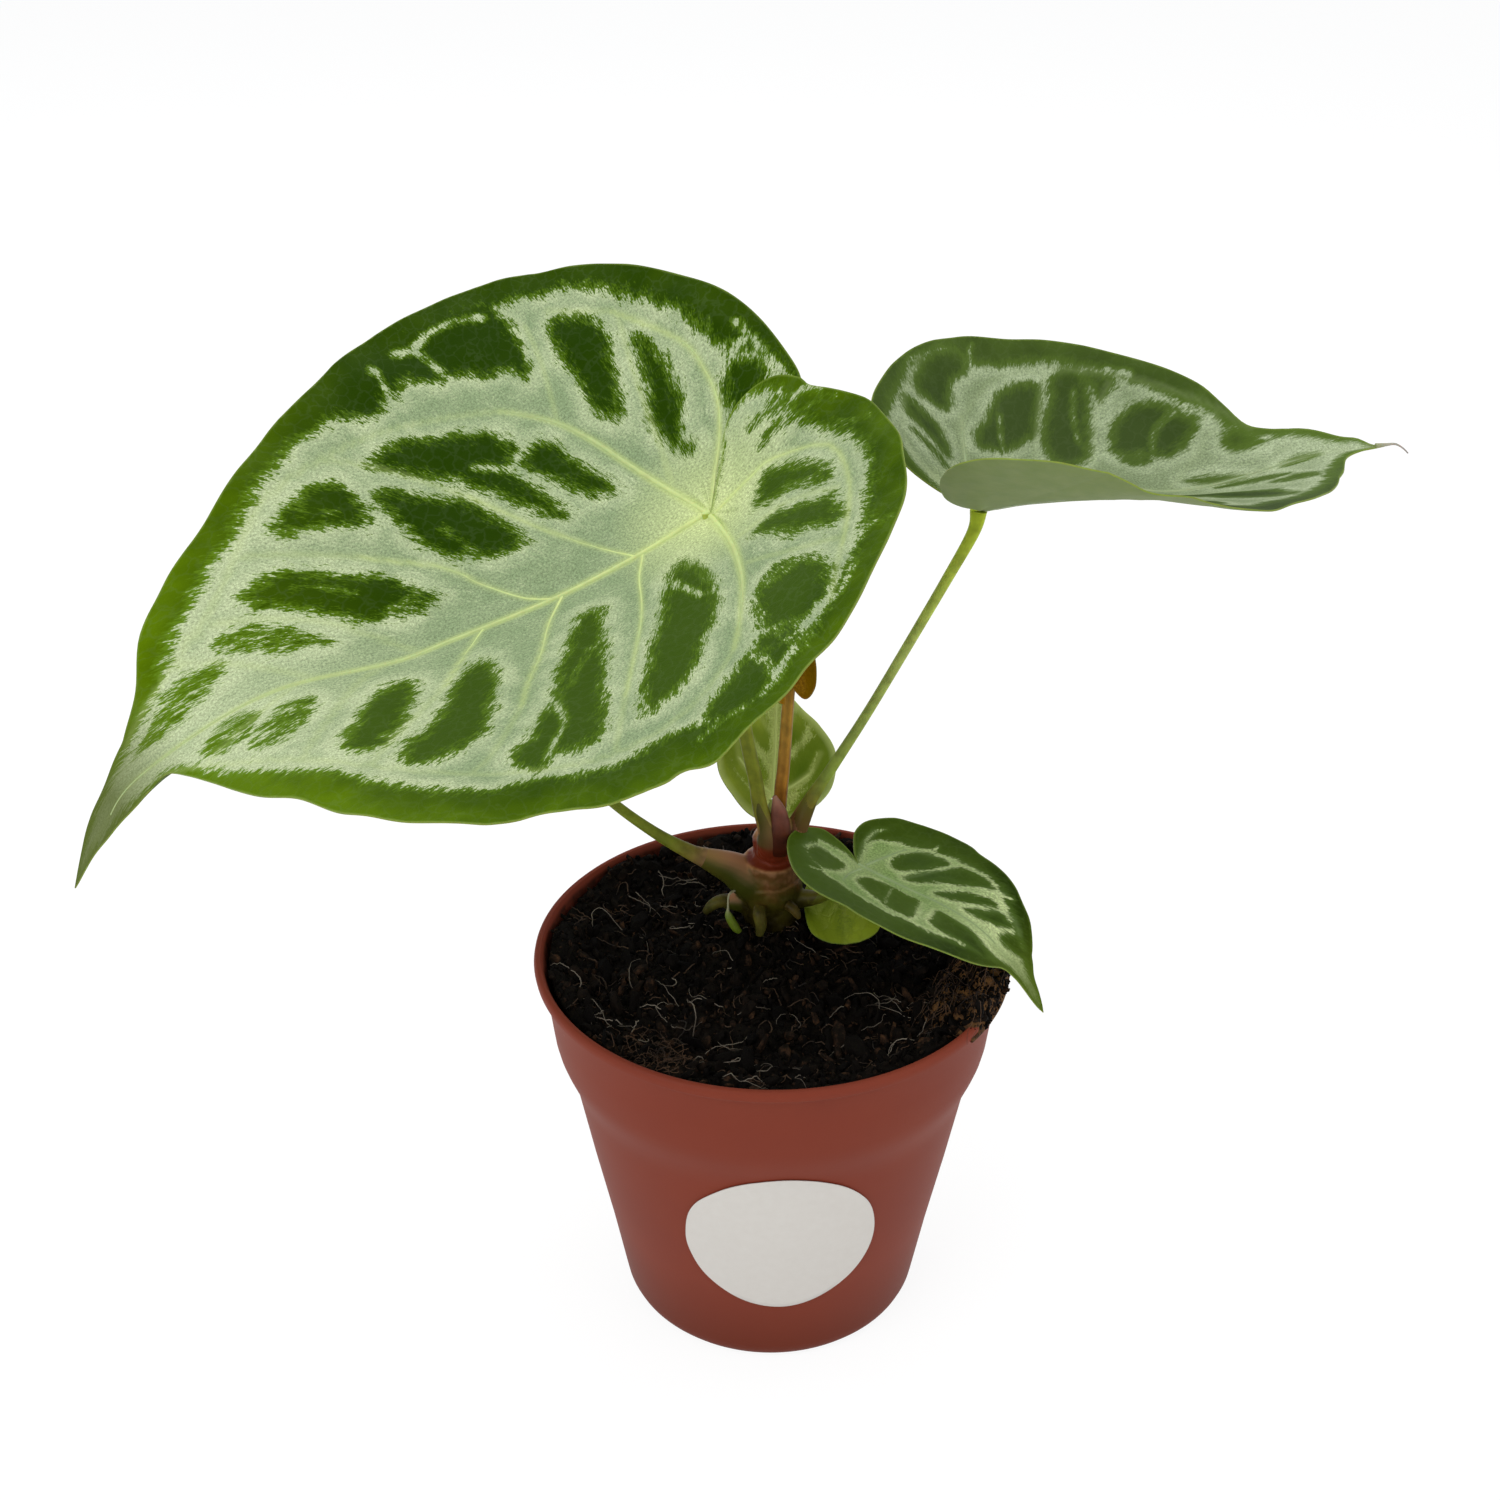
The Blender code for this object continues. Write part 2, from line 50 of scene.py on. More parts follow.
def feed(node, *values, **named):        # fills the inputs that are in use, in their order, then named ones
    inputs = [socket for socket in node.inputs if socket.enabled]
    pairs = list(zip(inputs, values))
    pairs += [(node.inputs[name.replace("_", " ")], value) for name, value in named.items()]
    for socket, value in pairs:
        if isinstance(value, bpy.types.Node):        # a node stands for its first output in use
            value = next(output for output in value.outputs if output.enabled)
        if isinstance(value, bpy.types.NodeSocket):
            node.id_data.links.new(value, socket)
        else:
            isColour = socket.type == "RGBA" and isinstance(value, str)
            socket.default_value = hexColour(value) if isColour else value


def addNode(tree, kind, *values, **named):           # small first letter: a setting; capital: an input
    node = tree.nodes.new(kind if "Node" in kind else tree.bl_idname.replace("Tree", kind))
    for name in [name for name in named if name[0].islower()]:
        setattr(node, name, named.pop(name))
    feed(node, *values, **named)
    return node


def newMaterial(name, **sockets):        # sockets: values that are the same all over the surface
    material = bpy.data.materials.new(name)
    material.use_nodes = True
    shader = material.node_tree.nodes["Principled BSDF"]
    feed(shader, **sockets)
    return material, partial(addNode, material.node_tree), shader


def addStops(ramp, stops):               # colours at places from 0 to 1
    band = ramp.color_ramp.elements
    band[0].color, band[1].color = hexColour(stops[0][1]), hexColour(stops[-1][1])
    for position, code in stops[1:-1]:
        band.new(position).color = hexColour(code)


def addObject(name, data):
    item = bpy.data.objects.new(name, data)
    bpy.context.scene.collection.objects.link(item)
    return item


def newPiece(name, points, faces, materials=(), edges=()):   # points in millimetres
    data = bpy.data.meshes.new(name)
    data.from_pydata([tuple(point) for point in np.asarray(points, float) * mm], list(edges), faces)
    for material in materials:
        data.materials.append(material)
    return addObject(name, data)


def ringFaces(rows, outward=False):      # faces between closed rings of point numbers; a pole repeats its own
    faces = []
    for low, high in zip(rows, rows[1:]):
        lowNext, highNext = low[1:] + low[:1], high[1:] + high[:1]
        order = (low, lowNext, highNext, high) if outward else (low, high, highNext, lowNext)
        faces += [list(dict.fromkeys(corners)) for corners in zip(*order)]
    return [face for face in faces if len(face) > 2]


def setAttribute(data, name, values):    # one number, or three, for each vertex
    values = np.asarray(values, float)
    kind, key = ("FLOAT", "value") if values.ndim == 1 else ("FLOAT_VECTOR", "vector")
    data.attributes.new(name, kind, "POINT").data.foreach_set(key, values.ravel())


def smoothShade(data, sharpAngle=None):
    data.shade_smooth()
    if sharpAngle:
        data.set_sharp_from_angle(angle=math.radians(sharpAngle))


def finishPiece(piece, slot, *nodes):    # the piece moves with the plant and stands for those solids
    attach(piece, "root")
    if nodes:
        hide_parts(*nodes)


def ease(low, high, value):              # smooth step from 0 to 1
    part = np.clip((value - low) / (high - low), 0, 1)
    return part * part * (3 - 2 * part)


def unit(vectors):
    return vectors / np.linalg.norm(vectors, axis=-1, keepdims=True)


def readCurve(points, place):            # smooth curve through the points, and its direction
    points = np.asarray(points, float)
    place = np.asarray(place, float)
    last = len(points) - 1
    span = np.clip(np.floor(place).astype(int), 0, last - 1)
    part = (place - span)[..., None]
    before, start = points[np.clip(span - 1, 0, last)], points[span]
    end, after = points[span + 1], points[np.clip(span + 2, 0, last)]
    leave, arrive = (end - before) / 2, (after - start) / 2
    square = part * part
    cube = square * part
    position = (start * (2 * cube - 3 * square + 1) + leave * (cube - 2 * square + part)
                + end * (3 * square - 2 * cube) + arrive * (cube - square))
    heading = (start * (6 * square - 6 * part) + leave * (3 * square - 4 * part + 1)
               + end * (6 * part - 6 * square) + arrive * (3 * square - 2 * part))
    return position, heading


def smoothRoute(points, perSpan, closed=False):      # the same curve as points
    points = np.asarray(points, float)
    if closed:
        count = len(points)
        points = np.concatenate([points[-2:], points, points[:3]])
        return readCurve(points, 2 + np.arange(count * perSpan) / perSpan)[0]
    return readCurve(points, np.linspace(0, len(points) - 1, (len(points) - 1) * perSpan + 1))[0]


def spaced(points, step):                # points at even steps along a route
    lengths = np.concatenate([[0], np.cumsum(np.linalg.norm(np.diff(points[:, :2], axis=0), axis=1))])
    marks = np.linspace(0, lengths[-1], max(2, int(round(lengths[-1] / step)) + 1))
    return np.stack([np.interp(marks, lengths, points[:, axis]) for axis in range(points.shape[1])], 1)


def convert(piece):                      # applies the modifiers of a piece
    graph = bpy.context.evaluated_depsgraph_get()
    graph.update()
    result = bpy.data.meshes.new_from_object(piece.evaluated_get(graph))
    piece.modifiers.clear()
    old = piece.data
    piece.data = result
    bpy.data.meshes.remove(old)


def addTree(piece, tree, **values):      # a node tree as a modifier, its inputs set by identifier
    modifier = piece.modifiers.new(tree.name, "NODES")
    modifier.node_group = tree
    for item in tree.interface.items_tree:
        if item.item_type == "SOCKET" and item.in_out == "INPUT" and item.name in values:
            modifier[item.identifier] = values[item.name]


def newTree(name, **inputs):             # inputs: name -> default, None for a material
    tree = bpy.data.node_groups.new(name, "GeometryNodeTree")
    kinds = {int: "Int", float: "Float", type(None): "Material"}
    for way in ("INPUT", "OUTPUT"):
        tree.interface.new_socket("Geometry", in_out=way, socket_type="NodeSocketGeometry")
    for label, default in inputs.items():
        kind = "NodeSocket" + kinds[type(default)]
        socket = tree.interface.new_socket(label, in_out="INPUT", socket_type=kind)
        if default is not None:
            socket.default_value = default
    return partial(addNode, tree), tree.nodes.new("NodeGroupInput").outputs, tree.nodes.new("NodeGroupOutput")


# Node trees for what follows a path or a surface

def buildTubeTree():     # edges with a "thick" radius become tubes, each with a groove along one side
    node, given, result = newTree("tubeAlongPath", Sides=10, Groove=0.0, Material=None)
    route = node("MeshToCurve", given["Geometry"])
    thick = node("InputNamedAttribute", "thick", data_type="FLOAT")
    marked = node("StoreNamedAttribute", route, Name="along", Value=node("SplineParameter"),
                  data_type="FLOAT", domain="POINT")
    ring = node("CurvePrimitiveCircle", given["Sides"], 1.0)
    place = node("InputPosition")
    height = node("ShaderNodeSeparateXYZ", place).outputs["Y"]
    depth = node("ShaderNodeMapRange", height, 0.72, 1.0, 0.0, given["Groove"],
                 interpolation_type="SMOOTHSTEP")
    inward = node("ShaderNodeMath", depth, -1.0, operation="MULTIPLY")
    offset = node("ShaderNodeVectorMath", place, inward, operation="SCALE")
    shaped = node("SetPosition", ring, Offset=offset)
    facing = node("StoreNamedAttribute", shaped, Name="facing", Value=height, data_type="FLOAT",
                  domain="POINT")
    tube = node("CurveToMesh", marked, facing, thick, True)
    real = node("RealizeInstances", node("SetShadeSmooth", tube))
    feed(result, node("SetMaterial", real, Material=given["Material"]))
    return real.id_data


def buildCrumbTree():    # small angular crumbs scattered over a surface
    node, given, result = newTree("crumbsOnSurface", Density=1e6, Smallest=0.0002, Largest=0.001, Seed=0,
                                  Material=None)
    scatter = node("DistributePointsOnFaces", given["Geometry"], Density=given["Density"],
                   Seed=given["Seed"])
    crumb = node("MeshIcoSphere", 1.0, 1)
    pick = node("FunctionNodeRandomValue", Seed=given["Seed"], data_type="FLOAT")
    rare = node("ShaderNodeMath", pick, 3.0, operation="POWER")
    size = node("ShaderNodeMapRange", rare, 0.0, 1.0, given["Smallest"], given["Largest"])
    flat = node("FunctionNodeRandomValue", (0.4, 0.3, 0.2), (1.8, 0.9, 0.6), Seed=3,
                data_type="FLOAT_VECTOR")
    scale = node("ShaderNodeVectorMath", flat, size, operation="SCALE")
    turn = node("FunctionNodeRandomValue", (0, 0, 0), (6.28, 6.28, 6.28), Seed=5,
                data_type="FLOAT_VECTOR")
    placed = node("InstanceOnPoints", scatter, Instance=crumb, Rotation=turn, Scale=scale)
    shade = node("FunctionNodeRandomValue", Seed=9, data_type="FLOAT")
    toned = node("StoreNamedAttribute", placed, Name="tone", Value=shade, data_type="FLOAT",
                 domain="INSTANCE")
    real = node("RealizeInstances", toned)
    feed(result, node("SetMaterial", real, Material=given["Material"]))
    return real.id_data


tubeTree = buildTubeTree()
crumbTree = buildCrumbTree()


def tubePiece(name, routes, material, sides=10, groove=0.0):     # routes: rows of x, y, z and radius
    points, edges, radii = [], [], []
    for route in routes:
        first = len(points)
        points += [tuple(row[:3]) for row in route]
        radii += [row[3] * mm for row in route]
        edges += [(first + step, first + step + 1) for step in range(len(route) - 1)]
    piece = newPiece(name, points, [], edges=edges)
    setAttribute(piece.data, "thick", radii)
    addTree(piece, tubeTree, Sides=sides, Groove=groove, Material=material)
    convert(piece)
    return piece


# Leaves. A leaf's own plane is measured in millimetres from the stalk's end: along the midrib towards the
# tip, and across it. Each half is given as (along, across), with across counted away from the midrib.

def spineAt(leaf, reach):                # place and direction on the midrib
    spine = np.asarray(leaf["spine"], float)
    steps = np.linalg.norm(np.diff(spine, axis=0), axis=1)
    marks = np.concatenate([[-steps[0], 0], np.cumsum(steps[1:])])
    held = np.clip(reach, marks[0], marks[-1])
    position, heading = readCurve(spine, np.interp(held, marks, np.arange(len(marks))))
    heading = unit(heading)
    return position + heading * (reach - held)[..., None], heading, marks[-1]


def leafSurface(leaf, side, along, across):          # side is 1 on the left of travel, -1 on the right
    position, heading, length = spineAt(leaf, along)
    width, half = leaf["halfWidth"], 0 if side > 0 else 1
    around = width * 0.2                 # the blade turns more gently than its midrib
    heading = unit(heading + spineAt(leaf, along - around)[1] + spineAt(leaf, along + around)[1])
    sideways = unit(np.cross((0, 0, 1.0), heading))
    normal = np.cross(heading, sideways)
    roll = np.radians(leaf["roll"] + leaf["twist"] * np.clip(along / length, 0, 1))[..., None]
    sideways, normal = (sideways * np.cos(roll) + normal * np.sin(roll),
                        normal * np.cos(roll) - sideways * np.sin(roll))
    fold = math.radians(leaf["fold"][half])
    bend = math.radians(leaf["curl"][half]) / width or 1e-6
    away = np.abs(across)
    out = (np.sin(fold + bend * away) - np.sin(fold)) / bend
    rise = (np.cos(fold) - np.cos(fold + bend * away)) / bend
    valley = width * leaf.get("valley", (0.12, 0.12))[half]           # the fold is rounded over this width
    rise = rise * (1 - valley * (1 - np.exp(-away / valley)) / np.maximum(away, 1e-6))
    out, rise = np.where(across < 0, across, out), np.where(across < 0, 0, rise)
    if side > 0:                         # the left lobe rises at the back
        angle = np.degrees(np.arctan2(across, along)) % 360
        rise = rise + leaf.get("lobeLift", 0) * ease(105, 205, angle) * np.hypot(along, across) / width
    for lift in leaf.get("keel", ()):    # the midrib arches up there
        rise = rise + lift[1] * np.exp(-((along - lift[0]) / lift[2]) ** 2 - (across / lift[3 + half]) ** 2)
    return position + sideways * (side * out)[..., None] + normal * rise[..., None]


def leafNormal(leaf, side, along, across):
    step = 0.05
    ahead = leafSurface(leaf, side, along + step, across) - leafSurface(leaf, side, along - step, across)
    aside = leafSurface(leaf, side, along, across + step) - leafSurface(leaf, side, along, across)
    return unit(np.cross(ahead, aside) * side)


def segmentDistance(places, start, end):             # distance to a segment, and how far along it
    run = end - start
    part = np.clip(((places - start) @ run) / max(run @ run, 1e-9), 0, 1)
    return np.linalg.norm(places - start - part[:, None] * run, axis=1), part


def isNear(places, low, high, reach=4):              # far points are left out, to save time
    return np.all((places > low - reach) & (places < high + reach), axis=1)


def lineDepth(places, line):             # how deep inside a line with a half-width
    depth = np.full(len(places), -9.0)
    route = smoothRoute(line, 3)
    for start, end in zip(route, route[1:]):
        near = isNear(places, np.minimum(start, end)[:2], np.maximum(start, end)[:2])
        if near.any():
            distance, part = segmentDistance(places[near], start[:2], end[:2])
            depth[near] = np.maximum(depth[near], start[2] + (end[2] - start[2]) * part - distance)
    return depth


def patchDepth(places, patch):           # how deep inside a closed outline
    outline = smoothRoute(patch, 3, closed=True)
    near = isNear(places, outline.min(0), outline.max(0))
    depth = np.full(len(places), -9.0)
    held = places[near]
    distance, inside = np.full(len(held), 9.0), np.zeros(len(held), bool)
    for start, end in zip(outline, np.roll(outline, -1, axis=0)):
        distance = np.minimum(distance, segmentDistance(held, start, end)[0])
        crosses = (start[1] > held[:, 1]) != (end[1] > held[:, 1])
        where = start[0] + (held[:, 1] - start[1]) / ((end[1] - start[1]) or 1e-9) * (end[0] - start[0])
        inside ^= crosses & (held[:, 0] < where)
    depth[near] = np.where(inside, distance, -distance)
    return depth


def stoutPart(leaf, line):               # only this part of a vein stands out as a rib
    return [row for row in line if row[2] >= leaf.get("ribLimit", 0.15)]


def halfGrid(leaf, half, side):          # rays from the midrib to the edge of one half
    edge = smoothRoute(half["edge"], 8)
    turn = np.argmax(edge[:, 0] <= 0)    # where the lobe begins
    front, lobe = edge[:turn + 1], edge[turn:]
    tip, step = edge[0, 0], leaf["step"]
    marks = np.linspace(tip, 0, int(tip / step) + 1)
    order = np.minimum.accumulate(front[:, 0])[::-1]
    front = np.stack([marks] + [np.interp(marks, order, front[::-1, axis]) for axis in (1, 2)], 1)
    front[:, 0] = np.maximum(marks, 0)
    lobe = spaced(lobe, step * 1.15)
    ends = np.concatenate([front, lobe[1:]])
    feet = np.concatenate([tip * (marks / tip) ** 3, np.zeros(len(lobe) - 1)])      # crowd near the stalk
    rings = int(leaf["halfWidth"] / step * 1.05)
    part = (np.linspace(0, 1, rings + 1) ** 1.2)[None, :]            # closer near the midrib
    length = np.hypot(ends[:, 0] - feet, ends[:, 1])[:, None]
    along = feet[:, None] + (ends[:, :1] - feet[:, None]) * part
    lean = (feet / tip * (1 - feet / tip))[:, None] * 0.5        # rays sweep back, then forward
    along = along - lean * length * np.sin(np.pi * part)
    gaps = np.linalg.norm(np.diff(ends[:, :2], axis=0), axis=1)
    travelled = np.concatenate([[0], np.cumsum(gaps)])[:, None] + 0 * part
    grain = np.stack([travelled, length * part, side * 20 * ease(0, 8, length * part)], -1)
    return along, ends[:, 1:2] * part, grain, edge


def leafFields(leaf, half, side, places, edge):      # what the material reads at each point
    rim = spaced(edge, 0.3)
    tree = kdtree.KDTree(len(rim))
    for index, point in enumerate(rim):
        tree.insert((point[0], point[1], 0), index)
    tree.balance()
    nearest, margin = np.array([tree.find((x, y, 0))[1:] for x, y in places]).T
    silver = margin - rim[nearest.astype(int), 2]
    for patch in half["patches"]:
        silver = np.minimum(silver, -patchDepth(places, patch))
    for patch in half.get("speckled", ()):           # patches that the silver breaks up
        silver = np.minimum(silver, np.maximum(-patchDepth(places, patch), -0.35))
    for line in half["lines"]:           # thin ones only break the dark up
        depth = lineDepth(places, line)
        limit = 9 if max(row[2] for row in line) > 0.26 else leaf.get("crack", -0.9)
        silver = np.maximum(silver, np.minimum(np.where(depth < 0, depth * 2.2, depth), limit))
    signed = places * (1, side)
    vein, relief = np.zeros(len(places)), np.full(len(places), 9.0)
    for line in leaf["veins"]:
        depth = lineDepth(signed, line)
        relief = np.minimum(relief, -depth)
        vein = np.maximum(vein, np.interp(depth, (-0.5, -0.1), (0, 0.4)))
        stout = stoutPart(leaf, line)
        if len(stout) > 2:
            vein = np.maximum(vein, np.interp(lineDepth(signed, stout), (-0.6, -0.2, 0), (0, 0.3, 1)))
    return dict(silver=np.clip(silver, -3, 3), vein=vein, margin=margin, relief=relief,
                flat=np.insert(signed, 2, 0, axis=1), half=np.full(len(places), float(side)))


def leafPiece(leaf, materials):
    points, faces, kinds = [], [], []
    stored = {name: [] for name in ("silver", "vein", "margin", "grain", "flat", "half")}
    for side, half in ((1, leaf["left"]), (-1, leaf["right"])):
        along, across, grain, edge = halfGrid(leaf, half, side)
        rays, columns = along.shape
        along, across, grain = along.ravel(), across.ravel(), grain.reshape(-1, 3)
        fields = leafFields(leaf, half, side, np.stack([along, across], 1), edge)
        base = leafSurface(leaf, side, along, across)
        middle = np.isclose(across, 0) & (along >= 0)
        normal = leafNormal(leaf, side, along, across)
        normal[middle] = leafNormal(leaf, 1, along[middle], 0 * across[middle])
        margin, relief, travel = fields["margin"], fields["relief"], grain[:, 0]
        wave = leaf["wave"] * (np.sin(travel * 0.31 + side) + 0.5 * np.sin(travel * 0.57 + 2 * side))
        wave *= ease(8, 0, margin) * ease(0, 4, across)  # only the outer 8 mm ripple, and not the tip
        swell = leaf["swell"] * (1 - np.exp(-np.maximum(relief, 0) / 2.2)) * ease(0, 5, margin)
        lumps = np.array([noise.noise(Vector(place) * 0.16) for place in base]) * leaf["lumps"]
        top = base + normal * (wave + swell + lumps * ease(0, 6, relief))[:, None]
        thickness = leaf["thick"] * (0.45 + 0.55 * ease(0, 1.2, margin))         # thinner at the edge
        below = top - normal * thickness[:, None]
        kept = sorted({*range(0, columns, 4), columns - 1})           # a coarser underside
        mesh = np.arange(rays * columns).reshape(rays, columns)
        lower = mesh[:, kept].ravel()
        for name, values in dict(fields, grain=grain).items():
            if name in stored:
                stored[name] += [values, values[lower]]
        mesh = mesh + sum(len(block) for block in points)
        under = mesh[0, 0] + mesh.size + np.arange(len(lower)).reshape(rays, len(kept))
        points += [top, below[lower]]
        rim = np.stack([mesh[:, -1], under[:, -1]], 1)
        for kind, (sheet, flip) in enumerate(((mesh, side < 0), (under, side > 0), (rim, side < 0))):
            a, b, c, d = sheet[:-1, :-1], sheet[1:, :-1], sheet[1:, 1:], sheet[:-1, 1:]
            quads = np.stack((a, b, c, d) if flip else (a, d, c, b), -1).reshape(-1, 4)
            faces += quads.tolist()
            kinds += [kind] * len(quads)
    piece = newPiece(leaf["node"].replace("blade", "leaf"), np.concatenate(points), faces, materials)
    for name, blocks in stored.items():
        setAttribute(piece.data, name, np.concatenate(blocks))
    piece.data.polygons.foreach_set("material_index", kinds)
    shape = bmesh.new()
    shape.from_mesh(piece.data)
    bmesh.ops.remove_doubles(shape, verts=shape.verts, dist=2e-6)
    bmesh.ops.dissolve_degenerate(shape, edges=shape.edges, dist=1e-7)
    shape.to_mesh(piece.data)
    shape.free()
    smoothShade(piece.data, 50)
    finishPiece(piece, leaf["slot"], leaf["node"])


def veinPiece(leaf, material):           # ribs that stand proud on both faces
    routes = []
    sunk = leaf["thick"] * 0.5
    limit = leaf.get("ribLimit", 0.15) - 0.02
    for line in leaf["veins"]:
        line = stoutPart(leaf, line)
        if len(line) < 3:
            continue
        dense = spaced(smoothRoute(line, 5), 0.6)
        side = np.where(dense[:, 1] >= 0, 1, -1)
        place, normal = np.zeros((len(dense), 3)), np.zeros((len(dense), 3))
        for sign in (1, -1):
            rows = side == sign
            place[rows] = leafSurface(leaf, sign, dense[rows, 0], np.abs(dense[rows, 1]))
            normal[rows] = leafNormal(leaf, sign, dense[rows, 0], np.abs(dense[rows, 1]))
        radii = (dense[:, 2:3] - limit) * 0.42 + sunk
        routes.append(np.concatenate([place - normal * sunk, radii], 1))
    if routes:
        piece = tubePiece(leaf["node"].replace("blade", "veins"), routes, material, sides=8)
        finishPiece(piece, leaf["slot"])


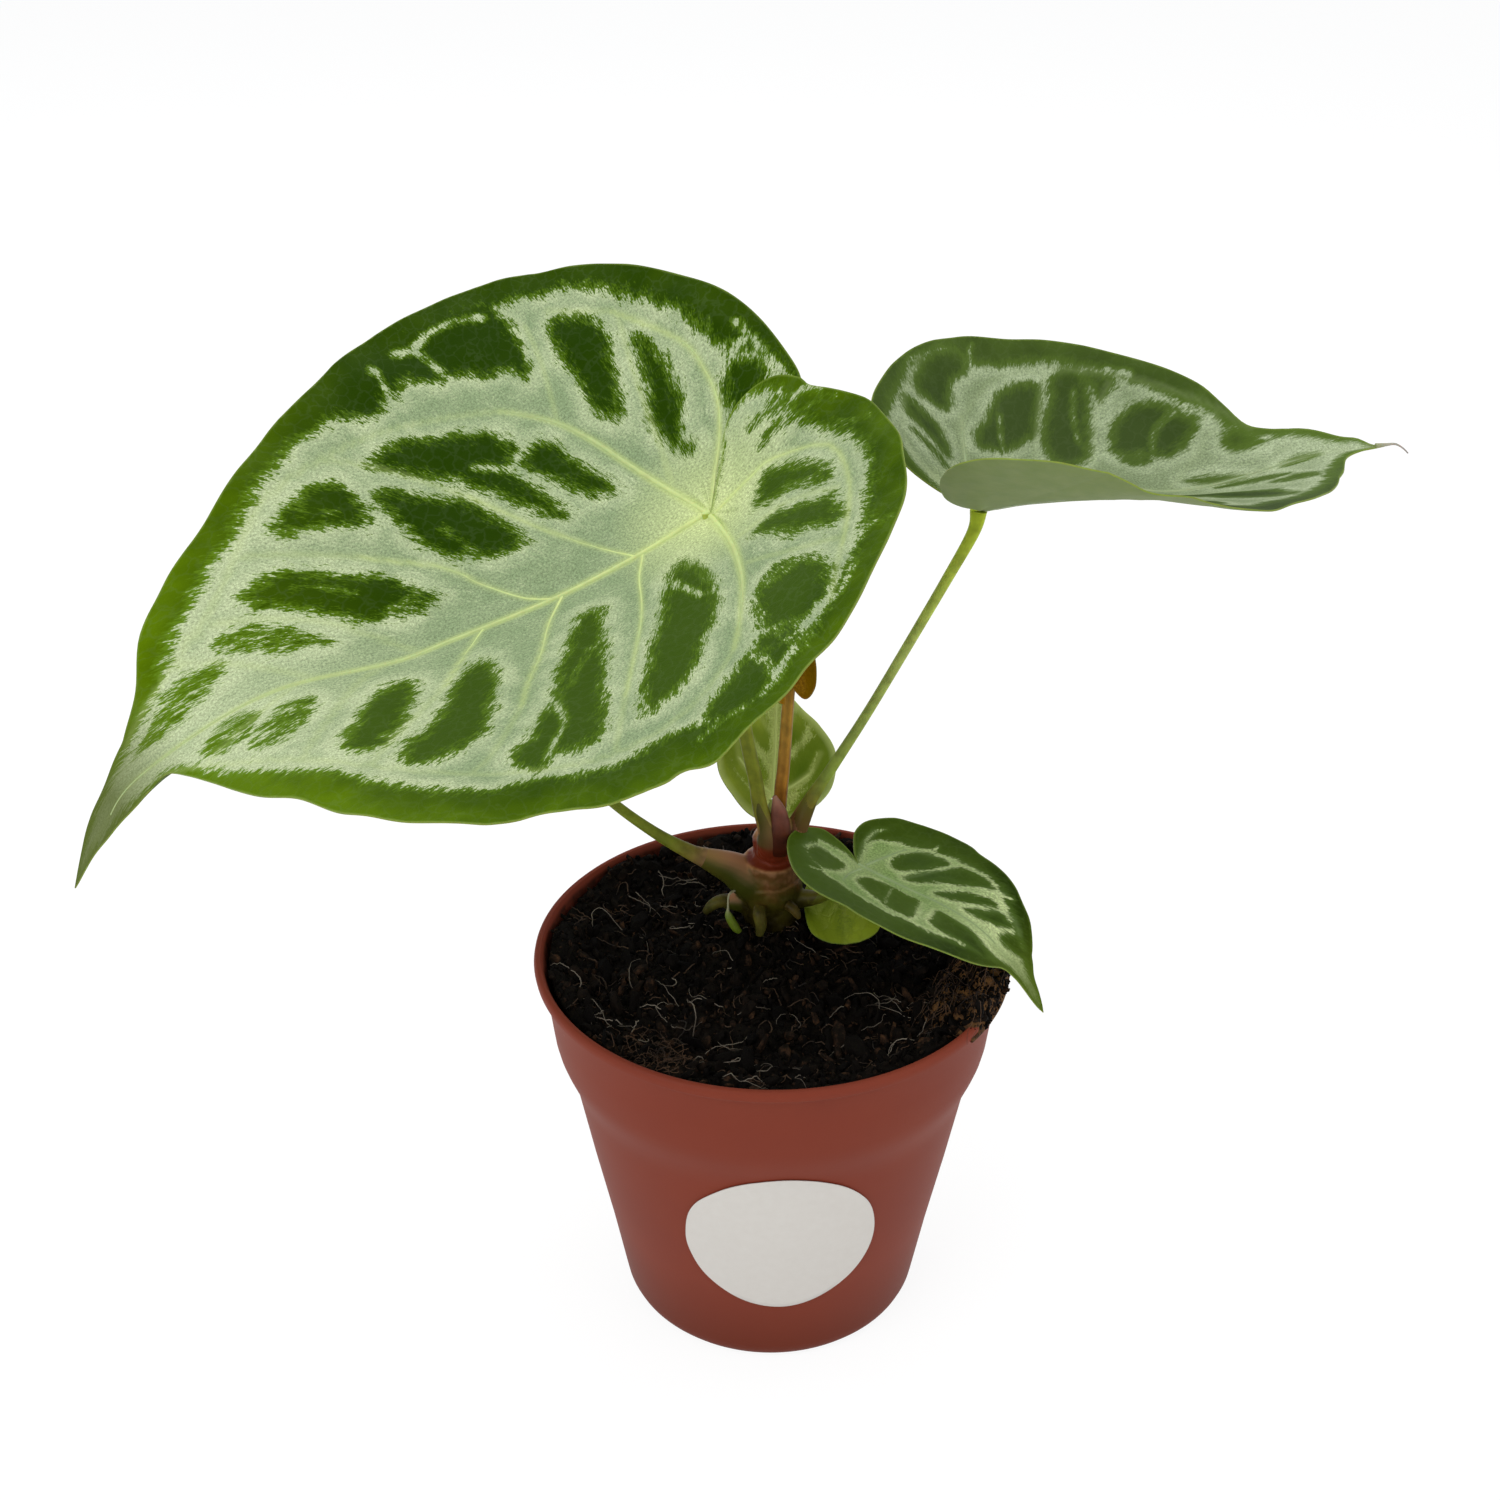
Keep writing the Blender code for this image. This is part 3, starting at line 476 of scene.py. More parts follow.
# spine: x, y, z on the midrib, from behind the stalk's end to the tip. veins: (along, across, half-width).
# edge: (along, across, width of the dark band), from the tip round to the stalk. patches, speckled: outlines
# of dark patches, whole or broken up by the silver. lines: silver lines across the dark, given as veins are.
# keel: (along, height, reach along, reach to the left, reach to the right).
bigLeaf = dict(
    node="blade_large", slot="leaf_dark", step=0.5, thick=0.42, ribLimit=0.12, wave=0.22, swell=0.35,
    lumps=0.5, roll=-9, twist=-7, fold=(15.5, 19.8), curl=(0, 0), halfWidth=42, lobeLift=8.8,
    spine=((9.7, 14.5, 121.0), (-7.3, 9.0, 107.0), (-22.6, 4.1, 98.7), (-39.2, -1.7, 94.5),
           (-56.2, -8.0, 92.8), (-71.5, -13.8, 85.5), (-76.8, -16.5, 78.7), (-80.2, -18.6, 70.5)),
    veins=(
        ((0, -0.3, 0.75), (5, -0.9, 0.6), (13, -1.3, 0.55), (21, -1.3, 0.5), (28, -1, 0.45),
         (35, -0.3, 0.4), (41, 0.8, 0.35), (48, 1, 0.3), (58, 0.6, 0.22), (68, 1.2, 0.18), (78, 1.6, 0.15),
         (85, 0.4, 0.1)),
        ((0.4, -0.5, 0.6), (1.5, -5, 0.5), (3, -10, 0.45), (4.6, -15, 0.42), (6.3, -20, 0.38),
         (9, -25, 0.3), (12.5, -28.5, 0.22), (16, -31, 0.16), (26, -33.4, 0.1), (38, -32.8, 0.1),
         (49, -26.5, 0.1), (58, -14, 0.1), (72, -4, 0.08)),
        ((-0.5, -0.5, 0.4), (-3, -4.5, 0.3), (-6, -8.5, 0.25), (-8.5, -13, 0.2), (-9.7, -18, 0.18),
         (-9.8, -24, 0.16), (-6, -34.5, 0.12), (1, -41, 0.08)),
        ((9, -25.5, 0.14), (6, -35, 0.1), (5, -41, 0.08)),
        ((1.5, -8, 0.14), (-2.5, -22, 0.1), (-6.3, -33, 0.08)),
        ((10, -1.3, 0.22), (12, -4, 0.17), (17.5, -11, 0.13), (25, -20.5, 0.12), (36, -29, 0.1),
         (42, -31.3, 0.08)),
        ((21, -1.3, 0.24), (24, -3.2, 0.2), (28, -7.5, 0.18), (32, -12, 0.16), (41, -16.2, 0.12),
         (53, -19.5, 0.08)), ((38, 0, 0.16), (45, -6.5, 0.12), (56, -11.5, 0.1), (61, -12, 0.08)),
        ((50, 0.9, 0.12), (59, -7, 0.1), (63, -9.3, 0.08)),
        ((0.3, 0.5, 0.6), (0.2, 5, 0.5), (0.4, 10, 0.45), (1, 15, 0.4), (2, 20, 0.32), (3.5, 24.5, 0.25),
         (5, 28.5, 0.2), (7, 32.5, 0.16), (15, 38, 0.1), (26, 38.3, 0.1), (38, 32, 0.1), (50, 22, 0.1),
         (62, 10, 0.1), (70, 4, 0.08)),
        ((-0.3, 0.6, 0.35), (-3, 0.7, 0.25), (-6, 1, 0.2), (-9, 2, 0.16), (-13.8, 9, 0.12),
         (-12.5, 19, 0.12), (-8, 29, 0.12), (-4, 37.3, 0.08)),
        ((0.7, 16, 0.18), (-2, 18.5, 0.15), (-7, 25, 0.1), (-8.5, 27.5, 0.08)),
        ((0.3, 9, 0.16), (-6.5, 10.3, 0.12), (-11.5, 17.5, 0.08)),
        ((9, -1, 0.24), (11, 3, 0.2), (12.5, 9, 0.18), (14.5, 15, 0.16), (20, 28, 0.12), (24, 37.8, 0.08)),
        ((20, -1.2, 0.26), (23, 3, 0.22), (25.5, 9, 0.2), (28.5, 15, 0.17), (30.5, 20, 0.15),
         (36, 28.5, 0.1), (39, 31, 0.08)),
        ((30, -0.8, 0.22), (33.5, 3.5, 0.18), (37, 9, 0.15), (45, 19, 0.1), (48, 23.5, 0.08)),
        ((42, 1, 0.18), (46, 4, 0.15), (52, 13, 0.1), (54.5, 17, 0.08)),
        ((52, 0.8, 0.12), (60, 5, 0.1), (64, 7.8, 0.08))),
    right=dict(edge=(
        (88, 0, 0.5), (84, 0.8, 0.7), (80.3, 1.7, 0.9), (76.3, 2.2, 0.9), (72.7, 4.4, 1.4),
        (67.7, 9.3, 2.4), (64.5, 15.6, 3.8), (60.5, 20.8, 4.2), (55.8, 25.3, 3.7), (49.7, 32.6, 3.5),
        (43.5, 39.5, 4), (36.3, 45.4, 4.5), (29.9, 48.5, 4.5), (19.8, 50.6, 4.2), (11.6, 51.1, 4.4),
        (6.1, 50.2, 4.6), (-0.4, 47.7, 4.2), (-5.9, 44.4, 3.6), (-10.3, 39.6, 4), (-13.1, 34.6, 4.2),
        (-15.8, 29.2, 4.8), (-17.9, 23.7, 6), (-18.5, 18.2, 6.2), (-18, 11.8, 2.4), (-17, 7.3, 1.6),
        (-14.5, 3.6, 0.6), (-10, 1.4, 0.2), (-5, 0.5, 0), (0, 0, 0)), patches=(
        ((-15.5, 12), (-14.6, 10.4), (-11, 9.5), (-8.8, 10), (-9.5, 14), (-11.5, 15.8), (-14, 15.6)),
        ((-2.4, 11.5), (-4.3, 14), (-5.6, 16), (-6.9, 20), (-7.6, 24.5), (-6.8, 29.3), (-5.5, 28.5),
         (-4, 24.5), (-2.9, 21), (-1.2, 18), (-0.5, 15), (-1.2, 12)),
        ((1.5, 20.2), (3.3, 21.5), (4, 25), (3.5, 29), (3.6, 33), (3.2, 37), (1.5, 39.8), (-1, 38.5),
         (-3, 37), (-4.2, 34), (-3.8, 31), (-2.5, 28), (-1, 25), (0.3, 22)),
        ((7, 10.8), (7.2, 13), (8.5, 16.5), (9.8, 19), (10.6, 22), (12.5, 24), (15, 24), (16.8, 22.6),
         (16.5, 20.6), (15, 18.5), (13, 16), (11, 13.2), (9, 12)),
        ((14, 12), (15.5, 16), (17.5, 20), (18, 22.4), (15.7, 24.8), (17, 27), (20, 29.2), (25, 30.5),
         (30, 31.8), (34, 31), (36.8, 29.2), (34, 27.3), (31, 25.8), (27, 23.6), (24, 21.3), (21, 18.3),
         (18.5, 15), (16, 12.2)),
        ((20.5, 10.8), (21.5, 14), (23.5, 17.5), (25.5, 20.3), (28, 21.5), (31, 22.8), (34, 24.5),
         (36.5, 25), (37.2, 22.8), (35.5, 20.5), (34.6, 18), (33, 15), (31, 13), (28.5, 11.6), (25, 10.6),
         (22, 10.2)),
        ((35, 8.5), (37, 11.5), (40, 13.2), (45, 14.7), (49, 16), (52, 15.7), (54.5, 14.3), (54, 12.6),
         (51, 10.7), (47.5, 9), (43.5, 6.8), (40.5, 6.3), (38, 7.5)),
        ((38, 20.5), (38.4, 23), (39.4, 26), (41.5, 27.6), (44, 27.4), (46.2, 25.8), (48.5, 23.8),
         (49.3, 21.8), (47.6, 20.4), (44.5, 20.9), (41, 20.2)),
        ((7, 44), (6.8, 41), (7, 37), (8.5, 33.8), (10.2, 32.8), (11, 35.2), (15.5, 36.5), (19, 38.2),
         (22, 38.2), (26, 39.5), (28.5, 37.8), (30.5, 38.2), (31.5, 36.6), (34, 35.8), (38, 36.8),
         (41, 35), (45, 33.8), (47, 32), (50, 28.5), (52, 32), (40, 46), (12, 50))), speckled=(
        ((47, 4.3), (49.5, 6.5), (52.5, 8.8), (55.5, 10.2), (58.5, 9.3), (56, 6.8), (53.5, 5),
         (50.5, 4.4)),
        ((59, 6), (60.5, 7.2), (63, 7.5), (66, 6.2), (69, 3.5), (72, 2), (68, 1.6), (63, 3)),
        ((33.6, 6.8), (34.6, 9), (37, 10), (40, 7.5), (39, 6), (36, 6)),
        ((-3.8, 10.3), (-2, 13), (-0.8, 13), (-1.6, 10.4), (-2.6, 9.4))), lines=(
        ((10.8, 11.3, 0.5), (13, 14.5, 0.45), (15.8, 19, 0.4), (17.3, 21.8, 0.5), (20, 23, 0.5),
         (22.7, 24.2, 0.3)), ((-15.8, 9.3, 0.5), (-16, 14, 0.35), (-15.9, 20, 0.3)),
        ((-15.5, 17.2, 0.4), (-13, 16.9, 0.5), (-10.6, 16.6, 0.6)),
        ((20.2, 38, 0.7), (21.5, 41, 0.4), (23.2, 44.2, 0.4), (26.5, 45.3, 0.4)),
        ((29.8, 38, 0.4), (30.2, 41, 0.3), (31, 43.4, 0.5)),
        ((10, 45.5, 0.5), (14, 46.4, 0.3), (19, 46.6, 0.3), (23, 45.2, 0.35)),
        ((27, 12.5, 0.05), (30, 17, 0.05)), ((43, 11, 0.15), (46, 12.8, 0.1), (49, 13.6, 0.12)),
        ((42, 23, 0.1), (44.5, 23.4, 0.15), (47, 25, 0.12)))),
    left=dict(edge=(
        (88, 0, 0.5), (84, 1.4, 0.7), (80.1, 3.1, 0.8), (74, 4.7, 0.8), (69.6, 4.4, 0.9), (67, 7.3, 1.2),
        (64.3, 11.7, 1.8), (60.3, 19.8, 4), (56.7, 24.6, 5), (53, 30.5, 5.8), (49.7, 34.9, 6.4),
        (45.2, 38.8, 6.3), (40.9, 41.7, 6.2), (38, 42.2, 6.2), (34.6, 43.1, 6.2), (31.6, 45.8, 6.8),
        (27.6, 48.2, 7.2), (22, 48.7, 7.6), (18.9, 47.9, 7.2), (15.4, 50.1, 7.6), (10, 48.9, 6.5),
        (4.4, 47.5, 3.6), (-0.4, 44.3, 4), (-5.9, 41.6, 4.6), (-10.6, 36.3, 4.2), (-12.7, 33.6, 4.4),
        (-15.4, 30.2, 5), (-18.4, 24.5, 5.4), (-20.2, 20.5, 5), (-20.9, 14.5, 4.8), (-20.9, 8.2, 5.4),
        (-18.5, 1.9, 5.2), (-16.9, -1.4, 4.2), (-16.6, -3.8, 3.2), (-14.7, -7.3, 1.8), (-11, -9.1, 0.9),
        (-7.5, -8.2, 0.2), (-4.7, -4.5, 0), (0, 0, 0)), patches=(
        ((5.2, 7), (4, 11), (4.3, 15.5), (5, 20), (6.8, 24), (9.2, 27.3), (11, 31), (13.5, 33), (17, 34.2),
         (19.6, 34.6), (19, 31.5), (18, 28), (16, 24.5), (14.3, 20), (12, 15.5), (10.4, 11.5), (8.6, 8.6),
         (7, 7)),
        ((16.2, 5.8), (17.5, 9), (18.3, 13), (19, 17), (20, 20), (21.2, 24), (22.2, 28), (23.4, 32),
         (25, 35), (28, 35.3), (30, 34.3), (32.5, 35.4), (34.4, 33), (34, 30), (31.8, 28), (30.2, 25),
         (27.5, 22), (26.5, 19), (25.3, 15.5), (23.5, 12), (22, 8.6), (20.3, 6.2), (18.2, 5.2)),
        ((31.5, 6), (30.8, 8.5), (31, 12), (32.5, 16), (33.5, 19.5), (35, 22.5), (36.8, 24.8),
         (39.5, 26.2), (42, 26.5), (44.5, 25.5), (45.3, 23.3), (43.5, 20.5), (41, 18), (39.3, 15.5),
         (37.5, 12.5), (36.2, 9.6), (34.5, 7), (33, 5.8)),
        ((39.6, 6.4), (40.5, 10), (42, 14), (44, 17.5), (46, 20), (48.2, 20.6), (50, 18.6), (49.6, 15.5),
         (48, 12.8), (46.3, 9.8), (44.3, 7), (42.3, 5.8)),
        ((-6, 28), (-6.3, 31), (-5, 34.5), (-3, 36.5), (-0.5, 37.3), (1.8, 35.6), (3.3, 33), (3, 30),
         (2.8, 27), (1.6, 25), (-1, 24.6), (-3.5, 25), (-5.2, 26)),
        ((0, 37.5), (1.5, 34.6), (4, 34), (6, 35.7), (4.4, 38.2), (1.5, 39)),
        ((-8.6, -1.2), (-10.7, -2.1), (-12.4, -1.5), (-14.4, 0.3), (-17.5, 5), (-19.5, 10.9), (-17.4, 9.8),
         (-16, 7.4), (-14.1, 2.7), (-12.5, 0.2), (-10.5, -0.5)),
        ((-1, 39.5), (2, 42.5), (6, 45.5), (12, 45.5), (14.5, 42.5), (13, 40), (10, 37.8), (7, 35.8),
         (5, 35.6), (3.8, 36.8), (1.4, 38.3)),
        ((-9.8, 24.3), (-10.8, 21.5), (-10.5, 18), (-9, 15), (-7, 12), (-5.5, 10.5), (-3.5, 10.3),
         (-2, 11.5), (-3, 13.5), (-4.3, 16.5), (-5.5, 19), (-7, 21), (-8, 23)),
        ((-12.2, 14.5), (-12.1, 11), (-11, 7.5), (-9.5, 4.5), (-7.3, 2.7), (-5.5, 4), (-4.2, 6.6),
         (-5.5, 8), (-8, 9.5), (-10, 13), (-11.3, 14.8))), speckled=(
        ((51, 5.5), (52.5, 8.8), (55, 11.6), (57.5, 11), (59.3, 9.5), (58, 7), (55.5, 4.8), (53, 4.6)),
        ((57.5, 3.5), (59, 6.3), (61.5, 7.7), (64, 6), (62.4, 3.2), (59.5, 2)),
        ((-4.5, 26), (-4, 23.2), (-1, 21.8), (1, 23.5), (2.4, 26), (0, 27)),
        ((-15.5, -2.4), (-12, -2.8), (-8.8, -3.8), (-10, -5.2), (-13.5, -4.8)),
        ((5, 8), (5.4, 5.8), (7, 5.6), (8.5, 8), (7, 9)), ((17, 6), (18, 4.6), (20, 5), (20, 7))), lines=(
        ((6.3, 16, 0.15), (7, 13.5, 0.25), (8, 10, 0.4)),
        ((31, 33.8, 0.2), (28.4, 30, 0.2), (27.2, 27.3, 0.2), (27, 23, 0.3)),
        ((24.6, 20, 0.05), (22.5, 16.5, 0.12), (20.6, 13.5, 0.2)),
        ((-7, 35.6, 0.5), (-5, 37.6, 0.35), (-1.5, 38.2, 0.3), (1.3, 40.6, 0.3), (3.5, 42.6, 0.3),
         (5.7, 43.9, 0.35), (7, 45, 0.2)), ((5.2, 43, 0.25), (4.9, 39.5, 0.2), (5.6, 36.5, 0.3)),
        ((1.6, 40, 0.15), (2.2, 36, 0.2)), ((9, 45.2, 0.15), (13, 44.6, 0.2), (15.8, 45, 0.15)),
        ((-19.2, 11.5, 0.1), (-17, 9.2, 0.15), (-15.5, 6, 0.15)),
        ((-18, 3, 0.15), (-16, 1.4, 0.15), (-13.5, 0.6, 0.2)),
        ((-17.6, 0.3, 0.3), (-15.6, -2, 0.25), (-13.6, -1.9, 0.3)), ((-13, 32, 0.05), (-9.8, 29.5, 0.15)))))

rightLeaf = dict(
    node="blade_right", slot="leaf_dark", step=0.45, thick=0.4, crack=0.05, wave=0.1, swell=0.2, lumps=0.3,
    roll=1.3, twist=25.6, fold=(25.2, 33.8), curl=(8.5, -2.3), halfWidth=27, lobeLift=1.5,
    valley=(0.12, 0.03), keel=((9, 1.7, 7, 6, 6), (14, 1.7, 8, 6, 40), (12, 2.5, 9, 5, 12)),
    spine=((12.7, 4.4, 112.9), (23.9, 8.0, 107.3), (33.8, 10.7, 105.5), (43.9, 13.1, 106.5),
           (54.1, 15.0, 108.0), (64.0, 17.4, 110.0), (69.1, 18.5, 110.9), (74.2, 19.4, 111.4)),
    veins=(
        ((0, 0, 0.5), (10, 0.1, 0.4), (22, 0.2, 0.3), (33, 0.6, 0.22), (42, 0.8, 0.16), (48, 0.3, 0.1)),
        ((0.2, 0.3, 0.4), (0.5, 6, 0.32), (1, 12, 0.26), (1.5, 17, 0.2), (9, 23, 0.1), (21, 20, 0.1),
         (32, 13, 0.1), (37, 7, 0.08)),
        ((-0.3, 0.5, 0.3), (-4, 5, 0.2), (-7, 9, 0.16), (-6.5, 18, 0.12), (-3.5, 25.5, 0.08)),
        ((0.4, 12, 0.14), (-5.5, 20.5, 0.08)),
        ((7, 0.2, 0.2), (9.5, 8, 0.16), (12.3, 15, 0.12), (15, 21.5, 0.08)),
        ((14, 0.2, 0.2), (17.5, 8, 0.16), (19.5, 14, 0.12), (22.5, 18, 0.08)),
        ((24, 0.3, 0.16), (30, 6, 0.12), (34, 9.5, 0.08)),
        ((0.2, -0.3, 0.4), (0.8, -8, 0.3), (3, -15, 0.2), (18, -20.5, 0.1), (38, -9, 0.08)),
        ((-0.3, -0.4, 0.3), (-5, -5, 0.2), (-7.5, -12, 0.14), (-5, -18, 0.1)),
        ((7, 0, 0.2), (16, -14, 0.1), (20, -19, 0.08)), ((16, 0, 0.2), (27, -12, 0.1), (31, -14.5, 0.08)),
        ((26, 0, 0.14), (37, -8, 0.08))),
    right=dict(edge=(
        (53.5, 0, 0.2), (50.5, 0.2, 0.2), (48.4, 0.4, 0.3), (46.5, 1.6, 0.9), (44.5, 4.4, 1.4),
        (41.5, 9.6, 1.8), (37, 15, 2.2), (31, 20.2, 2.8), (24.7, 24.6, 3.2), (13.2, 28.3, 3.4),
        (0, 27.4, 3.4), (-9.5, 20.4, 3), (-11.2, 14, 2.6), (-9.9, 8.6, 2), (-6.2, 3.2, 1.2),
        (-2.7, 1.2, 0.4), (0, 0, 0)), patches=(
        ((2.5, 6), (3, 11), (5, 16), (9, 19), (12, 17.5), (10, 12), (7.5, 7), (4.5, 4.6)),
        ((12, 5), (14, 11), (18, 17), (22, 18.5), (25, 16.5), (21, 11), (17, 6), (14, 4)),
        ((23, 4), (26, 8), (31, 12.5), (35, 12.3), (33, 8), (29, 4.5), (25.5, 3)),
        ((-2, 6), (-3.6, 11), (-2.5, 16), (0.5, 19.5), (2.5, 17), (0.5, 11), (-0.5, 6.5))), speckled=(
        ((30, 0.4), (34, 2.4), (38.5, 2.6), (36, 0.8), (33, 0.2)),
        ((35, 4.5), (38, 6.5), (41, 6), (38.5, 3.8))), lines=()),
    left=dict(edge=(
        (53.5, 0, 0.2), (50.5, 0.25, 0.2), (48.9, 1.8, 0.3), (47.3, 2.5, 0.7), (44.8, 4, 0.9),
        (42.2, 5.3, 0.9), (39.1, 6.2, 1), (36.6, 7.7, 1.2), (35, 11, 1.8), (33.3, 14.4, 2.8),
        (30.4, 17.3, 3.2), (25.9, 20.5, 3), (19.9, 24.2, 2.9), (14.9, 26.7, 3.4), (9.9, 28.2, 4.2),
        (5, 29.4, 4.4), (2, 29.5, 2.4), (-1.1, 29, 1.5), (-4.2, 26.9, 1.6), (-7, 23.5, 1.9),
        (-9.4, 19.5, 2.4), (-11.5, 15.5, 2.9), (-12.2, 12.5, 2.8), (-11.2, 9.6, 2.4), (-9, 6.9, 1.8),
        (-6.5, 4.4, 1.2), (-3.5, 2, 0.4), (0, 0, 0)), patches=(
        ((-4.6, 22.5), (-4.8, 20), (-2.5, 18.3), (0, 18), (0.5, 20), (1.2, 22.6), (3.5, 24), (3.7, 26.5),
         (2, 28), (-0.5, 27.5), (-2.5, 26), (-4, 24.4)),
        ((-6.5, 18.5), (-6.8, 16), (-5, 13.6), (-3.5, 11.8), (-2, 9.8), (-1.4, 11), (-1.6, 13.5),
         (-2.5, 15), (-4, 16.7)), ((-6, 13), (-4.5, 10.6), (-3, 8.6), (-2, 7.8), (-3, 9.8), (-5, 12)),
        ((3, 12.5), (3, 15), (4.5, 16.5), (6, 18.5), (8, 20.5), (11, 21.3), (14, 20.5), (13.8, 18.5),
         (12.5, 16), (11.5, 13.5), (9, 12.3), (7, 11.5), (5, 11.8)),
        ((12, 10), (12.6, 14), (14.5, 17.5), (15, 20), (17, 21.3), (19.5, 20.5), (20, 18), (19, 14.5),
         (18, 11), (16.5, 8), (14, 7.5)), ((20, 20), (22, 19.6), (23.5, 18.2), (22, 16.7), (20.6, 16.2)),
        ((20, 9), (21, 12), (23, 13.7), (25.5, 14.3), (28, 13.3), (30, 11.5), (32, 10.5), (30.5, 8.8),
         (28.5, 7), (26, 6), (23, 7), (21, 7.4)),
        ((33.3, 6.5), (33.7, 5), (35.5, 4.6), (38, 4.7), (37, 6.3), (35.5, 7.8), (34.2, 7.5))), speckled=(
        ((20.6, 7), (22, 5.5), (24, 6), (23, 8)), ((38.5, 0.3), (41, 1.1), (43.5, 0.6), (41, 0.1)),
        ((27, 2), (31, 1.6), (34, 0.5), (31, 0.4))), lines=(
        ((6.2, 11.3, 0.1), (6.5, 14, 0.2), (7, 17, 0.15)),
        ((16.5, 11, 0.05), (17, 15, 0.15), (18, 18, 0.1)),
        ((24.5, 7, 0.1), (25.5, 9.5, 0.2), (27, 11, 0.25), (29, 11.6, 0.15)),
        ((-5, 21.5, 0.3), (-5.3, 23.8, 0.25), (-4, 25.6, 0.2), (-1, 27.6, 0.15)),
        ((4.4, 24.3, 0.5), (4.2, 26.5, 0.3), (5, 28, 0.15)), ((22.5, 19.8, 0.4), (25, 18.4, 0.5)))))

